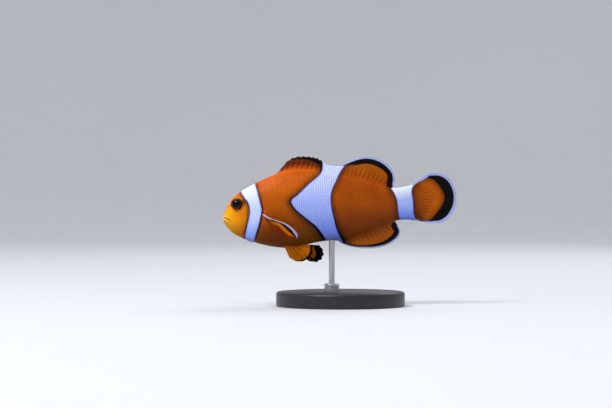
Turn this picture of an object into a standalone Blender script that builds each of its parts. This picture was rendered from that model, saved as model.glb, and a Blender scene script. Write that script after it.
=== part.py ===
"""A clownfish (Amphiprion ocellaris), life size, as a still display model on a small round stand.

The fish is modelled in its own frame: s runs from the snout to the tail along X, y to its right side and
z up, with the origin at the mouth. An empty then pitches the whole fish and lifts it onto its stand.
Its body is one loft, parted by thin cuts into jaw, head, gill covers, trunk and tail stalk. Each fin is a
fan of rays, thick at the foot and thin at the margin.
"""

import math

import bmesh
import bpy
import numpy as np
from mathutils import Vector

MM = 0.001

# Driving dimensions, in millimetres.
SNOUT = -0.4
BODY_END = 65.4
PITCH_DEG = 4.5
SNOUT_HEIGHT = 30.0
MIDDLE = 40.0
GAP = 0.3
AROUND = 28
RINGS = 42
CURVE_STEPS = 3

# The body, station by station: distance from the mouth, back, belly, half width, and height of the widest line.
BODY = np.array(
    (
        (-0.4, -0.10, -0.10, 0.00, -0.10),
        (0.0, 1.25, -1.75, 0.95, -0.10),
        (1.0, 3.35, -3.50, 1.80, -0.10),
        (2.0, 5.00, -4.75, 2.40, 0.00),
        (3.0, 6.35, -5.65, 2.88, 0.00),
        (4.0, 7.30, -6.35, 3.28, 0.00),
        (5.0, 7.95, -6.95, 3.62, 0.00),
        (6.5, 8.80, -7.75, 4.10, 0.00),
        (8.0, 9.60, -8.45, 4.55, 0.00),
        (10.0, 10.55, -9.20, 5.08, 0.00),
        (13.0, 11.80, -10.25, 5.60, 0.10),
        (16.0, 12.95, -11.10, 5.88, 0.30),
        (20.0, 14.15, -11.75, 6.00, 0.50),
        (25.0, 14.45, -11.65, 5.90, 0.80),
        (30.0, 14.00, -10.85, 5.60, 0.95),
        (35.0, 13.00, -10.50, 5.10, 1.00),
        (40.0, 11.70, -10.80, 4.40, 0.90),
        (45.0, 10.10, -9.65, 3.65, 0.70),
        (50.0, 8.40, -8.05, 2.95, 0.50),
        (54.0, 7.00, -6.75, 2.40, 0.40),
        (57.0, 6.15, -5.90, 2.05, 0.30),
        (60.0, 5.85, -5.40, 1.75, 0.25),
        (63.0, 6.10, -5.55, 1.45, 0.25),
        (66.5, 6.85, -6.25, 1.00, 0.30),
    )
)
# Roundness of the section above and below its widest line: 2 is an ellipse, less is a keel, more is boxy.
ROUNDNESS = np.array(
    (
        (-0.4, 2.0, 2.0),
        (5.0, 2.5, 2.1),
        (13.0, 2.1, 2.2),
        (24.0, 1.8, 2.2),
        (36.0, 1.75, 2.1),
        (46.0, 1.75, 1.8),
        (60.0, 2.0, 2.0),
        (66.5, 2.1, 2.1),
    )
)
# The fish curves gently away from its left side: snout and tail stand this far to the right of the middle.
HEAD_SWING = 0.9
HEAD_SWING_FROM = 18.0
TAIL_SWING = 5.0
TAIL_SWING_FROM = 32.0
TAIL_TIP = 80.4

# Parting lines seen from the left, from top to bottom, as (s, z).
JAW_LINE = ((-3.0, 0.35), (0.1, 0.30), (1.4, -0.45), (2.3, -1.50), (3.3, -3.60), (4.6, -6.0), (5.6, -20.0))
GILL_LINE = (
    (11.2, 20.0),
    (11.9, 10.0),
    (12.7, 6.5),
    (13.3, 3.8),
    (13.4, 2.0),
    (12.9, -1.0),
    (11.5, -5.0),
    (9.9, -8.5),
    (9.0, -20.0),
)
STALK_LINE = ((57.0, 20.0), (58.0, 6.0), (59.4, 2.4), (59.7, -1.5), (60.2, -5.4), (61.0, -20.0))
# The gill cover's outline: its cheek edge in front, and past the gill line behind, where that line trims it.
GILL_COVER = (
    (8.3, 4.5),
    (10.6, 5.7),
    (14.5, 5.2),
    (15.0, 0.0),
    (13.0, -7.0),
    (9.8, -8.1),
    (7.4, -6.9),
    (6.4, -5.0),
    (7.2, -2.2),
    (7.8, 1.2),
)
GILL_COVER_THICK = 1.2

EYE_AT = (4.85, 2.06, 4.45)
EYE_RADII = (1.95, 1.35, 1.95)
EYE_TURN_DEG = 14.0
EYE_TILT_DEG = 11.0

# Fins as control rays. A median fin: foot s, tip s, tip z. The caudal fin: foot z, tip s, tip z.
DORSAL = np.array(
    (
        (19.6, 20.0, 14.6),
        (20.6, 21.2, 16.0),
        (22.4, 23.4, 18.1),
        (24.6, 26.2, 19.15),
        (27.2, 29.3, 19.1),
        (29.8, 32.0, 18.65),
        (32.2, 34.0, 17.9),
        (34.0, 35.2, 16.95),
        (35.4, 36.3, 15.95),
        (36.8, 37.8, 15.3),
        (39.4, 41.2, 14.85),
        (41.9, 44.4, 16.1),
        (44.6, 47.6, 17.1),
        (47.6, 51.2, 17.2),
        (50.5, 54.8, 16.0),
        (53.2, 57.8, 13.6),
        (55.4, 59.3, 11.0),
        (57.0, 59.4, 8.6),
        (57.9, 58.9, 6.9),
    )
)
DORSAL_PARTED_AT = 38.3
ANAL = np.array(
    (
        (38.8, 39.6, -11.8),
        (41.0, 42.6, -13.1),
        (44.2, 47.2, -14.05),
        (47.8, 52.0, -14.15),
        (51.2, 56.0, -13.2),
        (54.2, 59.1, -11.1),
        (56.4, 60.0, -8.9),
        (57.9, 59.3, -7.0),
    )
)
CAUDAL = np.array(
    (
        (6.2, 71.4, 10.1),
        (4.9, 75.2, 9.8),
        (3.5, 78.0, 8.0),
        (2.1, 79.7, 5.3),
        (0.7, 80.4, 2.3),
        (-0.6, 80.2, -0.7),
        (-2.0, 79.2, -3.4),
        (-3.4, 77.2, -5.9),
        (-4.7, 74.3, -7.4),
        (-5.6, 70.6, -7.4),
    )
)
# Paired fins on the right side: two ends of the foot, then the tips from the leading ray to the last.
PECTORAL_FOOT = ((13.2, 4.9, 0.9), (15.3, 4.5, -4.7))
PECTORAL_TIPS = (
    (16.6, 12.9, -1.4),
    (18.8, 15.4, -2.3),
    (20.7, 16.7, -3.0),
    (22.4, 16.3, -4.1),
    (23.9, 14.6, -5.6),
    (24.9, 11.9, -7.3),
    (24.7, 8.9, -8.6),
)
PELVIC_FOOT = ((19.5, 1.9, -10.3), (23.4, 0.9, -10.7))
PELVIC_LEFT_TIPS = ((21.4, 4.8, -15.1), (24.1, 5.6, -16.6), (27.0, 5.5, -16.3), (29.1, 4.3, -14.4), (29.6, 3.0, -11.3))
PELVIC_RIGHT_TIPS = ((28.2, 4.6, -17.2), (31.0, 5.0, -17.5), (32.9, 4.6, -15.9), (33.1, 3.6, -13.6), (31.9, 2.6, -11.7))

# The stand.
BASE_RADIUS = 22.0
BASE_HEIGHT = 5.0
BASE_BEVEL = 0.8
ROD_RADIUS = 1.0
ROD_AT = 36.2
ROD_SUNK = 3.5
ROD_IN_BODY = 5.5
COLLAR_RADIUS = 2.6
COLLAR_HEIGHT = 2.4

ORANGE = (0.83, 0.24, 0.01)
DEEP_ORANGE = (0.70, 0.17, 0.01)
YELLOW_ORANGE = (0.93, 0.36, 0.02)
WHITE = (0.78, 0.82, 0.92)
EYE_BLACK = (0.01, 0.01, 0.02)
STEEL = (0.55, 0.55, 0.57)
BASE_BLACK = (0.03, 0.03, 0.035)


def through(knots, values, at):
    """A smooth curve through the values at the knots, read at the given places."""
    knots, values, at = (np.asarray(x, float) for x in (knots, values, at))
    slopes = np.gradient(values, knots)
    i = np.clip(np.searchsorted(knots, at) - 1, 0, len(knots) - 2)
    span = knots[i + 1] - knots[i]
    t = np.clip((at - knots[i]) / span, 0, 1)
    start = (1 + 2 * t) * (1 - t) ** 2 * values[i] + t * (1 - t) ** 2 * span * slopes[i]
    end = t * t * (3 - 2 * t) * values[i + 1] + t * t * (t - 1) * span * slopes[i + 1]
    return start + end


def curved(line, closed=False):
    """A smooth curve through the points of a line or a closed outline."""
    line = np.array(line, float)
    if closed:
        line = np.concatenate([line[-2:], line, line[:3]])
    along = np.concatenate([[0], np.cumsum(np.linalg.norm(np.diff(line, axis=0), axis=1))])
    number = np.arange(len(line))
    first, last = (2, len(line) - 3) if closed else (0, len(line) - 1)
    read = np.interp(np.linspace(first, last, (last - first) * CURVE_STEPS + 1), number, along)
    points = np.stack([through(along, line[:, k], read) for k in range(2)], axis=1)
    return points[:-1] if closed else points


def blunted(s):
    """The distance along the body, stretched near the snout so that its end comes out round."""
    return np.sqrt(np.maximum(np.asarray(s, float) - SNOUT, 0))


def body_at(s):
    """Back, belly, half width and widest height of the body at s."""
    return [through(blunted(BODY[:, 0]), BODY[:, k], blunted(s)) for k in range(1, 5)]


def swing(s):
    """How far the fish's middle stands to the right of a straight line at s."""
    s = np.asarray(s, float)
    head = HEAD_SWING * np.clip((HEAD_SWING_FROM - s) / HEAD_SWING_FROM, 0, None) ** 2
    tail = TAIL_SWING * np.clip((s - TAIL_SWING_FROM) / (TAIL_TIP - TAIL_SWING_FROM), 0, None) ** 2
    return head + tail


def placed(points):
    """Points of the straight fish, in millimetres, swung into its curve and turned into metres."""
    points = np.array(points, float)
    points[..., 1] += swing(points[..., 0])
    return points * MM


def body_ring(s, grow=0.0):
    """The section at s, grown by that much all round."""
    back, belly, half_width, widest = (float(x) for x in body_at(s))
    above, below = (float(through(ROUNDNESS[:, 0], ROUNDNESS[:, k], s)) for k in (1, 2))
    ring = []
    for k in range(AROUND):
        across, up = math.cos(2 * math.pi * k / AROUND), math.sin(2 * math.pi * k / AROUND)
        power = 2 / (above if up > 0 else below)
        height = (back - widest if up > 0 else widest - belly) + grow
        y = (half_width + grow) * math.copysign(abs(across) ** power, across)
        ring.append((s, y, widest + height * math.copysign(abs(up) ** power, up)))
    return ring


def in_collection(name, hidden=False):
    collection = bpy.data.collections.new(name)
    bpy.context.scene.collection.children.link(collection)
    collection.hide_render = hidden
    return collection


def finish(name, colour, roughness, metallic=0.0):
    """A Principled material of one colour."""
    material = bpy.data.materials.new(name)
    material.use_nodes = True
    shader = material.node_tree.nodes["Principled BSDF"]
    shader.inputs["Base Color"].default_value = (*colour, 1.0)
    shader.inputs["Roughness"].default_value = roughness
    shader.inputs["Metallic"].default_value = metallic
    return material


def add(name, bm, material=None, parent=None):
    """The bmesh as an object: a part if it has a material, and a hidden cutter if not."""
    bmesh.ops.recalc_face_normals(bm, faces=bm.faces)
    mesh = bpy.data.meshes.new(name)
    bm.to_mesh(mesh)
    bm.free()
    mesh.shade_smooth()
    mesh.set_sharp_from_angle(angle=math.radians(35))
    obj = bpy.data.objects.new(name, mesh)
    obj.parent = parent
    if material:
        mesh.materials.append(material)
        PARTS.objects.link(obj)
    else:
        obj.hide_render = True
        obj.display_type = "WIRE"
        CUTTERS.objects.link(obj)
    return obj


def combine(obj, operation, *others):
    """Boolean modifiers on obj: DIFFERENCE cuts the others off, INTERSECT keeps what lies in all of them."""
    for other in others:
        modifier = obj.modifiers.new(other.name, "BOOLEAN")
        modifier.operation = operation
        modifier.object = other
    return obj


def loft(rings):
    """A closed skin over rings of equal count, capped at both ends."""
    bm = bmesh.new()
    loops = [[bm.verts.new(point) for point in placed(ring)] for ring in rings]
    for near, far in zip(loops, loops[1:]):
        for k in range(len(near)):
            after = (k + 1) % len(near)
            bm.faces.new((near[k], near[after], far[after], far[k]))
    bm.faces.new(loops[0])
    bm.faces.new(loops[-1][::-1])
    return bm


def body(grow=0.0, until=BODY_END):
    """The body from the snout backwards, closer ringed towards the snout; a shrunk one starts further in."""
    first = max(0.12, float(blunted(SNOUT - 1.6 * grow)))
    places = np.linspace(first, float(blunted(until)), RINGS) ** 2 + SNOUT
    return loft([body_ring(s, grow) for s in places])


def block(outline, low=-12.0, high=12.0):
    """A prism across the fish over an outline seen from the left."""
    return loft([[(s, y, z) for s, z in outline] for y in (low, high)])


def shifted(line, by):
    """The (s, z) line moved sideways by that much, towards the tail if it runs downwards."""
    line = np.array(line, float)
    along = np.gradient(line, axis=0)
    across = np.stack([-along[:, 1], along[:, 0]], axis=1)
    return line + by * across / np.linalg.norm(across, axis=1)[:, None]


def ahead_of(line, by):
    """A block over all that lies on the snout's side of a parting line, which is first moved by that much."""
    edge = [tuple(point) for point in shifted(curved(line), by)]
    return block([*edge, (-6.0, edge[-1][1]), (-6.0, edge[0][1])])


def grown(outline, by):
    """A closed outline, smoothed and pushed out all round."""
    outline = curved(outline, closed=True)
    along = np.roll(outline, -1, axis=0) - np.roll(outline, 1, axis=0)
    outwards = np.stack([-along[:, 1], along[:, 0]], axis=1)
    return outline + by * outwards / np.linalg.norm(outwards, axis=1)[:, None]


def ellipsoid(name, at, radii, side, grow=0.0, material=None, parent=None):
    """An eyeball, or its socket, on the left (-1) or right (1) side."""
    bm = bmesh.new()
    bmesh.ops.create_uvsphere(bm, u_segments=16, v_segments=10, radius=1.0)
    bmesh.ops.scale(bm, vec=Vector([(r + grow) * MM for r in radii]), verts=bm.verts)
    obj = add(name, bm, material, parent)
    s, y, z = at
    obj.location = placed([(s, side * y, z)])[0]
    obj.rotation_euler = (side * math.radians(EYE_TILT_DEG), 0, side * math.radians(EYE_TURN_DEG))
    return obj


def fan(name, feet, tips, rays, steps, foot_thick, tip_thick, bow, material, parent):
    """A fin: rays from a line of feet to a line of tips, bowed sideways, as a sheet that thins to its margin."""
    feet, tips = np.array(feet, float), np.array(tips, float)
    read = np.linspace(0, 1, rays)
    lines = [
        np.stack([through(np.linspace(0, 1, len(row)), row[:, k], read) for k in range(3)], axis=1)
        for row in (feet, tips)
    ]
    bm = bmesh.new()
    weights = bm.verts.layers.deform.verify()
    grid = []
    for t in np.linspace(0, 1, steps):
        row = lines[0] * (1 - t) + lines[1] * t + np.outer(4 * t * (1 - t) * np.ones(rays), bow)
        grid.append([bm.verts.new(point) for point in placed(row)])
        for vertex in grid[-1]:
            vertex[weights][0] = 1 - t
    for near, far in zip(grid, grid[1:]):
        for k in range(rays - 1):
            bm.faces.new((near[k], near[k + 1], far[k + 1], far[k]))
    obj = add(name, bm, material, parent)
    obj.vertex_groups.new(name="foot")
    solid = obj.modifiers.new("thickness", "SOLIDIFY")
    solid.thickness = foot_thick * MM
    solid.offset = 0
    solid.vertex_group = "foot"
    solid.thickness_vertex_group = tip_thick / foot_thick
    return obj


def median_fin(name, table, first, last, side, rays, lean, material, parent):
    """A fin on the back (side 1) or belly (side -1), with feet from s = first to last, sunk in the body."""
    at = np.linspace(first, last, rays)
    edge = body_at(at)[0 if side > 0 else 1]
    feet = np.stack([at, 0 * at, edge - side * 0.8], axis=1)
    tips = np.stack(
        [through(table[:, 0], table[:, 1], at), lean * np.ones(rays), through(table[:, 0], table[:, 2], at)], axis=1
    )
    return fan(name, feet, tips, rays, 5, 1.1, 0.55, (0, 0, 0), material, parent)


def paired_fin(name, foot, tips, side, rays, foot_thick, bow, material, parent):
    mirrored = np.array((1, side, 1))
    return fan(
        name, np.array(foot) * mirrored, np.array(tips) * mirrored, rays, 6, foot_thick, 0.55, bow * mirrored, material,
        parent,
    )


def body_parts(fish, skin):
    """Jaw, head, gill covers, trunk and tail stalk, all from one body."""
    jaw_ahead = [add(f"jaw_block_{n}", ahead_of(JAW_LINE, by)) for n, by in (("keep", -GAP / 2), ("clear", GAP / 2))]
    gill_ahead = [add(f"gill_block_{n}", ahead_of(GILL_LINE, by)) for n, by in (("keep", -GAP / 2), ("clear", GAP / 2))]
    stalk_ahead = [
        add(f"stalk_block_{n}", ahead_of(STALK_LINE, by)) for n, by in (("keep", -GAP / 2), ("clear", GAP / 2))
    ]
    for cutter in jaw_ahead + gill_ahead + stalk_ahead:
        cutter.parent = fish
    jaw = add("lower_jaw", body(), skin["face"], fish)
    combine(jaw, "INTERSECT", jaw_ahead[0])
    head = add("head", body(), skin["face"], fish)
    combine(head, "DIFFERENCE", jaw_ahead[1])
    combine(head, "INTERSECT", gill_ahead[0])
    trunk = add("trunk", body(), skin["flank"], fish)
    combine(trunk, "DIFFERENCE", gill_ahead[1])
    combine(trunk, "INTERSECT", stalk_ahead[0])
    stalk = add("tail_stalk", body(), skin["bar"], fish)
    combine(stalk, "DIFFERENCE", stalk_ahead[1])
    return head, trunk, gill_ahead[0]


def gill_covers(fish, head, gill_block, material):
    """A curved plate on each cheek, in a recess of the head that leaves a gap all round it."""
    whole = add("body_whole", body(), parent=fish)
    core = add("body_core", body(-GILL_COVER_THICK, 30.0), parent=fish)
    deep_core = add("body_deep_core", body(-GILL_COVER_THICK - GAP, 30.0), parent=fish)
    for side, word in ((-1, "left"), (1, "right")):
        span = sorted((side * 1.5, side * 12.0))
        cover = add(f"gill_cover_{word}", block(grown(GILL_COVER, 0.0), *span), material, fish)
        combine(cover, "INTERSECT", whole, gill_block)
        combine(cover, "DIFFERENCE", core)
        recess = add(f"gill_recess_{word}", block(grown(GILL_COVER, GAP), *span), parent=fish)
        combine(recess, "DIFFERENCE", deep_core)
        combine(head, "DIFFERENCE", recess)


def eyes(fish, head, material):
    for side, word in ((-1, "left"), (1, "right")):
        ellipsoid(f"eye_{word}", EYE_AT, EYE_RADII, side, 0.0, material, fish)
        socket = ellipsoid(f"socket_{word}", EYE_AT, EYE_RADII, side, GAP, None, fish)
        combine(head, "DIFFERENCE", socket)


def fins(fish, skin):
    """The dorsal fin in two lengths, the anal and caudal fins, and the two pairs."""
    clearance = add("body_clearance", body(GAP), parent=fish)
    half_gap = GAP / 2
    made = [
        median_fin("dorsal_fin_front", DORSAL, 19.6, DORSAL_PARTED_AT - half_gap, 1, 16, 0.25, skin["fin"], fish),
        median_fin("dorsal_fin_rear", DORSAL, DORSAL_PARTED_AT + half_gap, 57.9, 1, 17, 0.5, skin["fin"], fish),
        median_fin("anal_fin", ANAL, 38.8, 57.9, -1, 15, 0.3, skin["fin"], fish),
    ]
    for side, word, tips in ((-1, "left", PELVIC_LEFT_TIPS), (1, "right", PELVIC_RIGHT_TIPS)):
        made.append(
            paired_fin(
                f"pectoral_fin_{word}", PECTORAL_FOOT, PECTORAL_TIPS, side, 12, 0.9, np.array((0.3, 0, -0.7)),
                skin["fin"], fish,
            )
        )
        made.append(
            paired_fin(f"pelvic_fin_{word}", PELVIC_FOOT, tips, side, 9, 1.0, np.array((0, 0.3, 0)), skin["fin"], fish)
        )
    for fin in made:
        combine(fin, "DIFFERENCE", clearance)
    feet = [(BODY_END + GAP + 0.02, 0, z) for z in CAUDAL[:, 0]]
    tips = [(s, 0, z) for _, s, z in CAUDAL]
    fan("caudal_fin", feet, tips, 19, 6, 1.3, 0.55, (0, 0.4, 0), skin["fin"], fish)


def cylinder(radius, low, high, at=(0.0, 0.0), sides=24):
    """An upright cylinder between two heights, in millimetres of the whole model."""
    bm = bmesh.new()
    bmesh.ops.create_cone(
        bm, cap_ends=True, segments=sides, radius1=radius * MM, radius2=radius * MM, depth=(high - low) * MM
    )
    bmesh.ops.translate(bm, vec=Vector((at[0], at[1], (low + high) / 2)) * MM, verts=bm.verts)
    return bm


def bevel(obj, width):
    modifier = obj.modifiers.new("edge", "BEVEL")
    modifier.width = width * MM
    modifier.segments = 2
    modifier.limit_method = "ANGLE"


def stand(fish, trunk, steel, black):
    """A round base with a rod that stands in its collar and runs up into a hole in the belly."""
    belly = float(body_at(ROD_AT)[1])
    entry = fish.matrix_world @ Vector(placed([(ROD_AT, 0.0, belly)])[0])
    at = (entry.x / MM, entry.y / MM)
    top = entry.z / MM + ROD_IN_BODY
    foot = BASE_HEIGHT - ROD_SUNK
    base = add("stand_base", cylinder(BASE_RADIUS, 0, BASE_HEIGHT, sides=56), black)
    bevel(base, BASE_BEVEL)
    hole = add("stand_hole", cylinder(ROD_RADIUS + GAP, foot - GAP, BASE_HEIGHT + 1, at))
    combine(base, "DIFFERENCE", hole)
    rod = add("stand_rod", cylinder(ROD_RADIUS, foot, top, at), steel)
    bevel(rod, 0.15)
    collar = add("stand_collar", cylinder(COLLAR_RADIUS, BASE_HEIGHT + GAP, BASE_HEIGHT + GAP + COLLAR_HEIGHT, at), steel)
    bevel(collar, 0.35)
    combine(collar, "DIFFERENCE", add("collar_bore", cylinder(ROD_RADIUS + GAP, foot, top, at)))
    bore = add("belly_bore", cylinder(ROD_RADIUS + GAP, top - ROD_IN_BODY - 4, top + GAP, at))
    combine(trunk, "DIFFERENCE", bore)


def main():
    fish = bpy.data.objects.new("fish", None)
    PARTS.objects.link(fish)
    pitch = math.radians(PITCH_DEG)
    fish.rotation_euler = (0, -pitch, 0)
    fish.location = (-MIDDLE * MM * math.cos(pitch), 0, SNOUT_HEIGHT * MM)
    bpy.context.view_layer.update()
    skin = {
        "face": finish("face_skin", YELLOW_ORANGE, 0.4),
        "flank": finish("flank_skin", ORANGE, 0.4),
        "bar": finish("bar_skin", WHITE, 0.4),
        "fin": finish("fin_skin", DEEP_ORANGE, 0.45),
    }
    head, trunk, gill_block = body_parts(fish, skin)
    gill_covers(fish, head, gill_block, skin["bar"])
    eyes(fish, head, finish("eye_black", EYE_BLACK, 0.1))
    fins(fish, skin)
    stand(fish, trunk, finish("rod_steel", STEEL, 0.3, 1.0), finish("base_black", BASE_BLACK, 0.5))


for old in list(bpy.data.objects):
    bpy.data.objects.remove(old)
PARTS = in_collection("clownfish")
CUTTERS = in_collection("cutters", hidden=True)
main()
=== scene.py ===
"""Looks of the clownfish display model: one skin with its fins, a coat of scales, glossy eyes and a stand.

The fish is worked out in its own straight frame, in its own millimetres: s runs from the mouth to the tail,
y to its right side and z up. placed() then swings it into its curve, pitches it and sets it where the frame
holds it. The skin is one net of stations (lines of points from the anal fin's edge, up the flank, to the
back fin's edge), so body and fins have no seam. Every point carries its distances to the bars, bands and
clear margins, and the materials paint from those.
"""

import math

import bpy
import numpy as np
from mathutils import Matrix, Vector


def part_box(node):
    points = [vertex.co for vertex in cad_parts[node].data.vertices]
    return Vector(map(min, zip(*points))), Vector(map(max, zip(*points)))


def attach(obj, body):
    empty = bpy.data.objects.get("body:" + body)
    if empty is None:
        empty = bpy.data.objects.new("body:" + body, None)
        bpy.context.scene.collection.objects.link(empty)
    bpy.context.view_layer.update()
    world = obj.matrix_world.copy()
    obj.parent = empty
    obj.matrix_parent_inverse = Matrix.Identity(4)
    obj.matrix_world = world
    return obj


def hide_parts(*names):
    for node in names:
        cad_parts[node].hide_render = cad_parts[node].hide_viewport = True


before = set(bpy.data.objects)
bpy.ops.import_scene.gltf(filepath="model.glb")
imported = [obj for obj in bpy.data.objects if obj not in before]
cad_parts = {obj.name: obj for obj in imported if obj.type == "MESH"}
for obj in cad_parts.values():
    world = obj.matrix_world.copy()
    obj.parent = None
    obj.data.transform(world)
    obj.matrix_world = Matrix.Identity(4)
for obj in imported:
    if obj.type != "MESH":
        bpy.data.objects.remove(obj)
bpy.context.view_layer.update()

# ---- sizes of the fish, in its own millimetres

LENGTH = 80.4
SNOUT_TO_TAIL = 80.523
SNOUT = -0.4
BODY_END = 65.2
PITCH = math.radians(4.5)
MOUTH_BEHIND_JAW_TIP = 0.394
MOUTH_ABOVE_JAW = -0.2
COAT = 0.12

HEAD_SWING = 0.9
HEAD_SWING_FROM = 18.0
TAIL_SWING = 5.0
TAIL_SWING_FROM = 32.0

# Distance from the mouth, back, belly, half width, and height of the widest line.
BODY = np.array([
    (-0.4, -0.1, -0.1, 0.0, -0.1), (0.0, 1.25, -1.75, 0.95, -0.1),
    (1.0, 3.35, -3.5, 1.8, -0.1), (2.0, 5.0, -4.75, 2.4, 0.0),
    (3.0, 6.35, -5.65, 2.88, 0.0), (4.0, 7.3, -6.35, 3.28, 0.0),
    (5.0, 7.95, -6.95, 3.62, 0.0), (6.5, 8.8, -7.75, 4.1, 0.0),
    (8.0, 9.6, -8.45, 4.55, 0.0), (10.0, 10.55, -9.2, 5.08, 0.0),
    (13.0, 11.8, -10.25, 5.6, 0.1), (16.0, 12.95, -11.1, 5.88, 0.3),
    (20.0, 14.15, -11.75, 6.0, 0.5), (25.0, 14.45, -11.65, 5.9, 0.8),
    (30.0, 14.0, -10.85, 5.6, 0.95), (35.0, 13.0, -10.5, 5.1, 1.0),
    (40.0, 11.7, -10.8, 4.4, 0.9), (45.0, 10.1, -9.65, 3.65, 0.7),
    (50.0, 8.4, -8.05, 2.95, 0.5), (54.0, 7.0, -6.75, 2.4, 0.4),
    (57.0, 6.15, -5.9, 2.05, 0.3), (60.0, 5.85, -5.4, 1.75, 0.25),
    (63.0, 6.1, -5.55, 1.45, 0.25), (66.5, 6.85, -6.25, 1.0, 0.3),
])
# Roundness of the section above and below its widest line: 2 is an ellipse, less is a keel, more is boxy.
ROUNDNESS = np.array([
    (-0.4, 2.0, 2.0), (5.0, 2.5, 2.1),
    (13.0, 2.1, 2.2), (24.0, 1.8, 2.2),
    (36.0, 1.75, 2.1), (46.0, 1.75, 1.8),
    (60.0, 2.0, 2.0), (66.5, 2.1, 2.1),
])

# Fins on the midline: foot s, tip s, tip z, width of the black band, width of the clear margin beyond it.
DORSAL = np.array([
    (19.6, 20.0, 14.6, 0.0, 0.0), (20.6, 21.2, 16.0, 0.0, 0.0),
    (22.4, 23.4, 18.1, 0.15, 0.0), (24.6, 26.2, 19.15, 0.85, 0.0),
    (27.2, 29.3, 19.1, 1.15, 0.0), (29.8, 32.0, 18.65, 1.45, 0.0),
    (32.2, 34.0, 17.9, 1.8, 0.0), (34.0, 35.2, 16.95, 1.6, 0.0),
    (35.4, 36.3, 15.95, 0.8, 0.0), (36.8, 37.8, 15.3, 0.0, 0.0),
    (39.4, 41.2, 14.85, 0.0, 0.1), (41.9, 44.4, 16.1, 0.5, 0.4),
    (44.6, 47.6, 17.1, 1.5, 0.6), (47.6, 51.2, 17.2, 1.8, 0.7),
    (50.5, 54.8, 16.0, 1.85, 0.8), (53.2, 57.8, 13.6, 1.7, 0.8),
    (55.4, 59.3, 11.0, 1.75, 0.7), (57.0, 59.4, 8.6, 1.7, 0.55),
    (57.9, 58.9, 6.9, 1.3, 0.45),
])
ANAL = np.array([
    (38.8, 39.6, -11.8, 0.1, 0.2), (41.0, 42.6, -13.1, 0.45, 0.35),
    (44.2, 47.2, -14.05, 0.6, 0.5), (47.8, 52.0, -14.15, 0.95, 0.55),
    (51.2, 56.0, -13.2, 1.35, 0.55), (54.2, 59.1, -11.1, 1.75, 0.55),
    (56.4, 60.0, -8.9, 1.8, 0.45), (57.9, 59.3, -7.0, 1.2, 0.4),
])
# The tail fin from its top ray to its lowest: share of the way down, tip s, tip z, band, clear margin.
CAUDAL = np.array([
    (0.0, 71.4, 10.1, 0.6, 0.8), (0.11, 75.2, 9.8, 1.3, 1.0),
    (0.22, 78.0, 8.0, 2.5, 1.0), (0.34, 79.7, 5.3, 3.05, 1.0),
    (0.45, 80.4, 2.3, 3.1, 1.0), (0.56, 80.2, -0.7, 2.95, 1.05),
    (0.67, 79.2, -3.4, 2.8, 1.1), (0.78, 77.2, -5.9, 2.55, 1.05),
    (0.89, 74.3, -7.4, 1.7, 0.85), (1.0, 70.6, -7.4, 0.45, 0.5),
])
CAUDAL_ROOTS = ((66.0, 6.6), (65.6, -6.0))
# Outline of the tail fin's orange patch, open to the tail's white bar.
TAIL_PATCH = (
    (60.0, 4.2), (63.6, 5.1), (65.4, 6.1), (67.0, 7.4), (69.0, 8.15), (71.2, 8.15), (73.0, 7.3),
    (74.5, 5.5), (75.6, 3.4), (76.1, 1.8), (75.9, 0.4), (75.0, -1.4), (73.3, -3.4), (71.4, -5.4),
    (69.7, -6.3), (67.6, -6.0), (65.4, -5.5), (63.6, -5.0), (60.0, -4.0),
)
# Fins in pairs, on the right side: two ends of the foot, then the tips from the leading ray to the last, how
# far the first and last ray bow, the widths of the black band and the clear margin, and how deep they pleat.
PECTORAL_FOOT = ((13.2, 4.9, 0.9), (15.3, 4.5, -4.7))
PECTORAL_TIPS = (
    (16.6, 12.9, -1.4), (18.8, 15.4, -2.3), (20.7, 16.7, -3.0), (22.4, 16.3, -4.1), (23.9, 14.6, -5.6),
    (24.9, 11.9, -7.3), (24.7, 8.9, -8.6),
)
PECTORAL_BOW = ((0.2, 0.0, -0.45), (0.3, 0.0, -0.9))
PECTORAL_BAND = (0.4, 1.2, 2.2, 2.6, 2.4, 1.4, 0.0)
PECTORAL_CLEAR = (0.9, 1.2, 1.5, 1.7, 1.6, 1.4, 0.2)
PELVIC_FOOT = ((19.5, 1.9, -10.3), (23.4, 0.9, -10.7))
PELVIC_LEFT_TIPS = (
    (21.4, 4.8, -15.1), (24.1, 5.6, -16.6), (27.0, 5.5, -16.3), (29.1, 4.3, -14.4), (29.6, 3.0, -11.3),
)
PELVIC_RIGHT_TIPS = (
    (28.2, 4.6, -17.2), (31.0, 5.0, -17.5), (32.9, 4.6, -15.9), (33.1, 3.6, -13.6), (31.9, 2.6, -11.7),
)
PELVIC_BOW = ((0.0, 0.3, 0.0), (0.0, 0.3, 0.0))
PELVIC_LEFT_BAND = (0.15, 0.5, 0.9, 1.1, 0.9)
PELVIC_RIGHT_BAND = (1.6, 2.2, 2.8, 3.2, 2.6)
PELVIC_CLEAR = (0.0, 0.0)
PECTORAL_PLEAT = 0.24
PELVIC_PLEAT = 0.22

# Rays: where the first stands, how far apart they stand, and how many there are.
SPINES_FROM = 20.4
SPINES_END = 36.5
SPINE_PITCH = 1.62
SOFT_RAYS_FROM = 38.0
SOFT_RAY_PITCH = 1.36
ANAL_RAYS_FROM = 39.6
ANAL_RAY_PITCH = 1.4
CAUDAL_RAYS = 15
PECTORAL_RAYS = 17
PELVIC_RAYS = 6

# Half the thickness of fins at shares of the way out along their rays.
FIN_THICKNESS = ((0, 0.15, 0.5, 0.9, 1.0), (0.42, 0.30, 0.17, 0.10, 0.09))
TAIL_THICKNESS = ((0, 0.3, 0.9, 1.0), (0.5, 0.24, 0.11, 0.10))
FAN_THICKNESS = ((0, 0.1, 0.2, 0.5, 1.0), (0.62, 0.42, 0.26, 0.15, 0.08))
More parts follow.
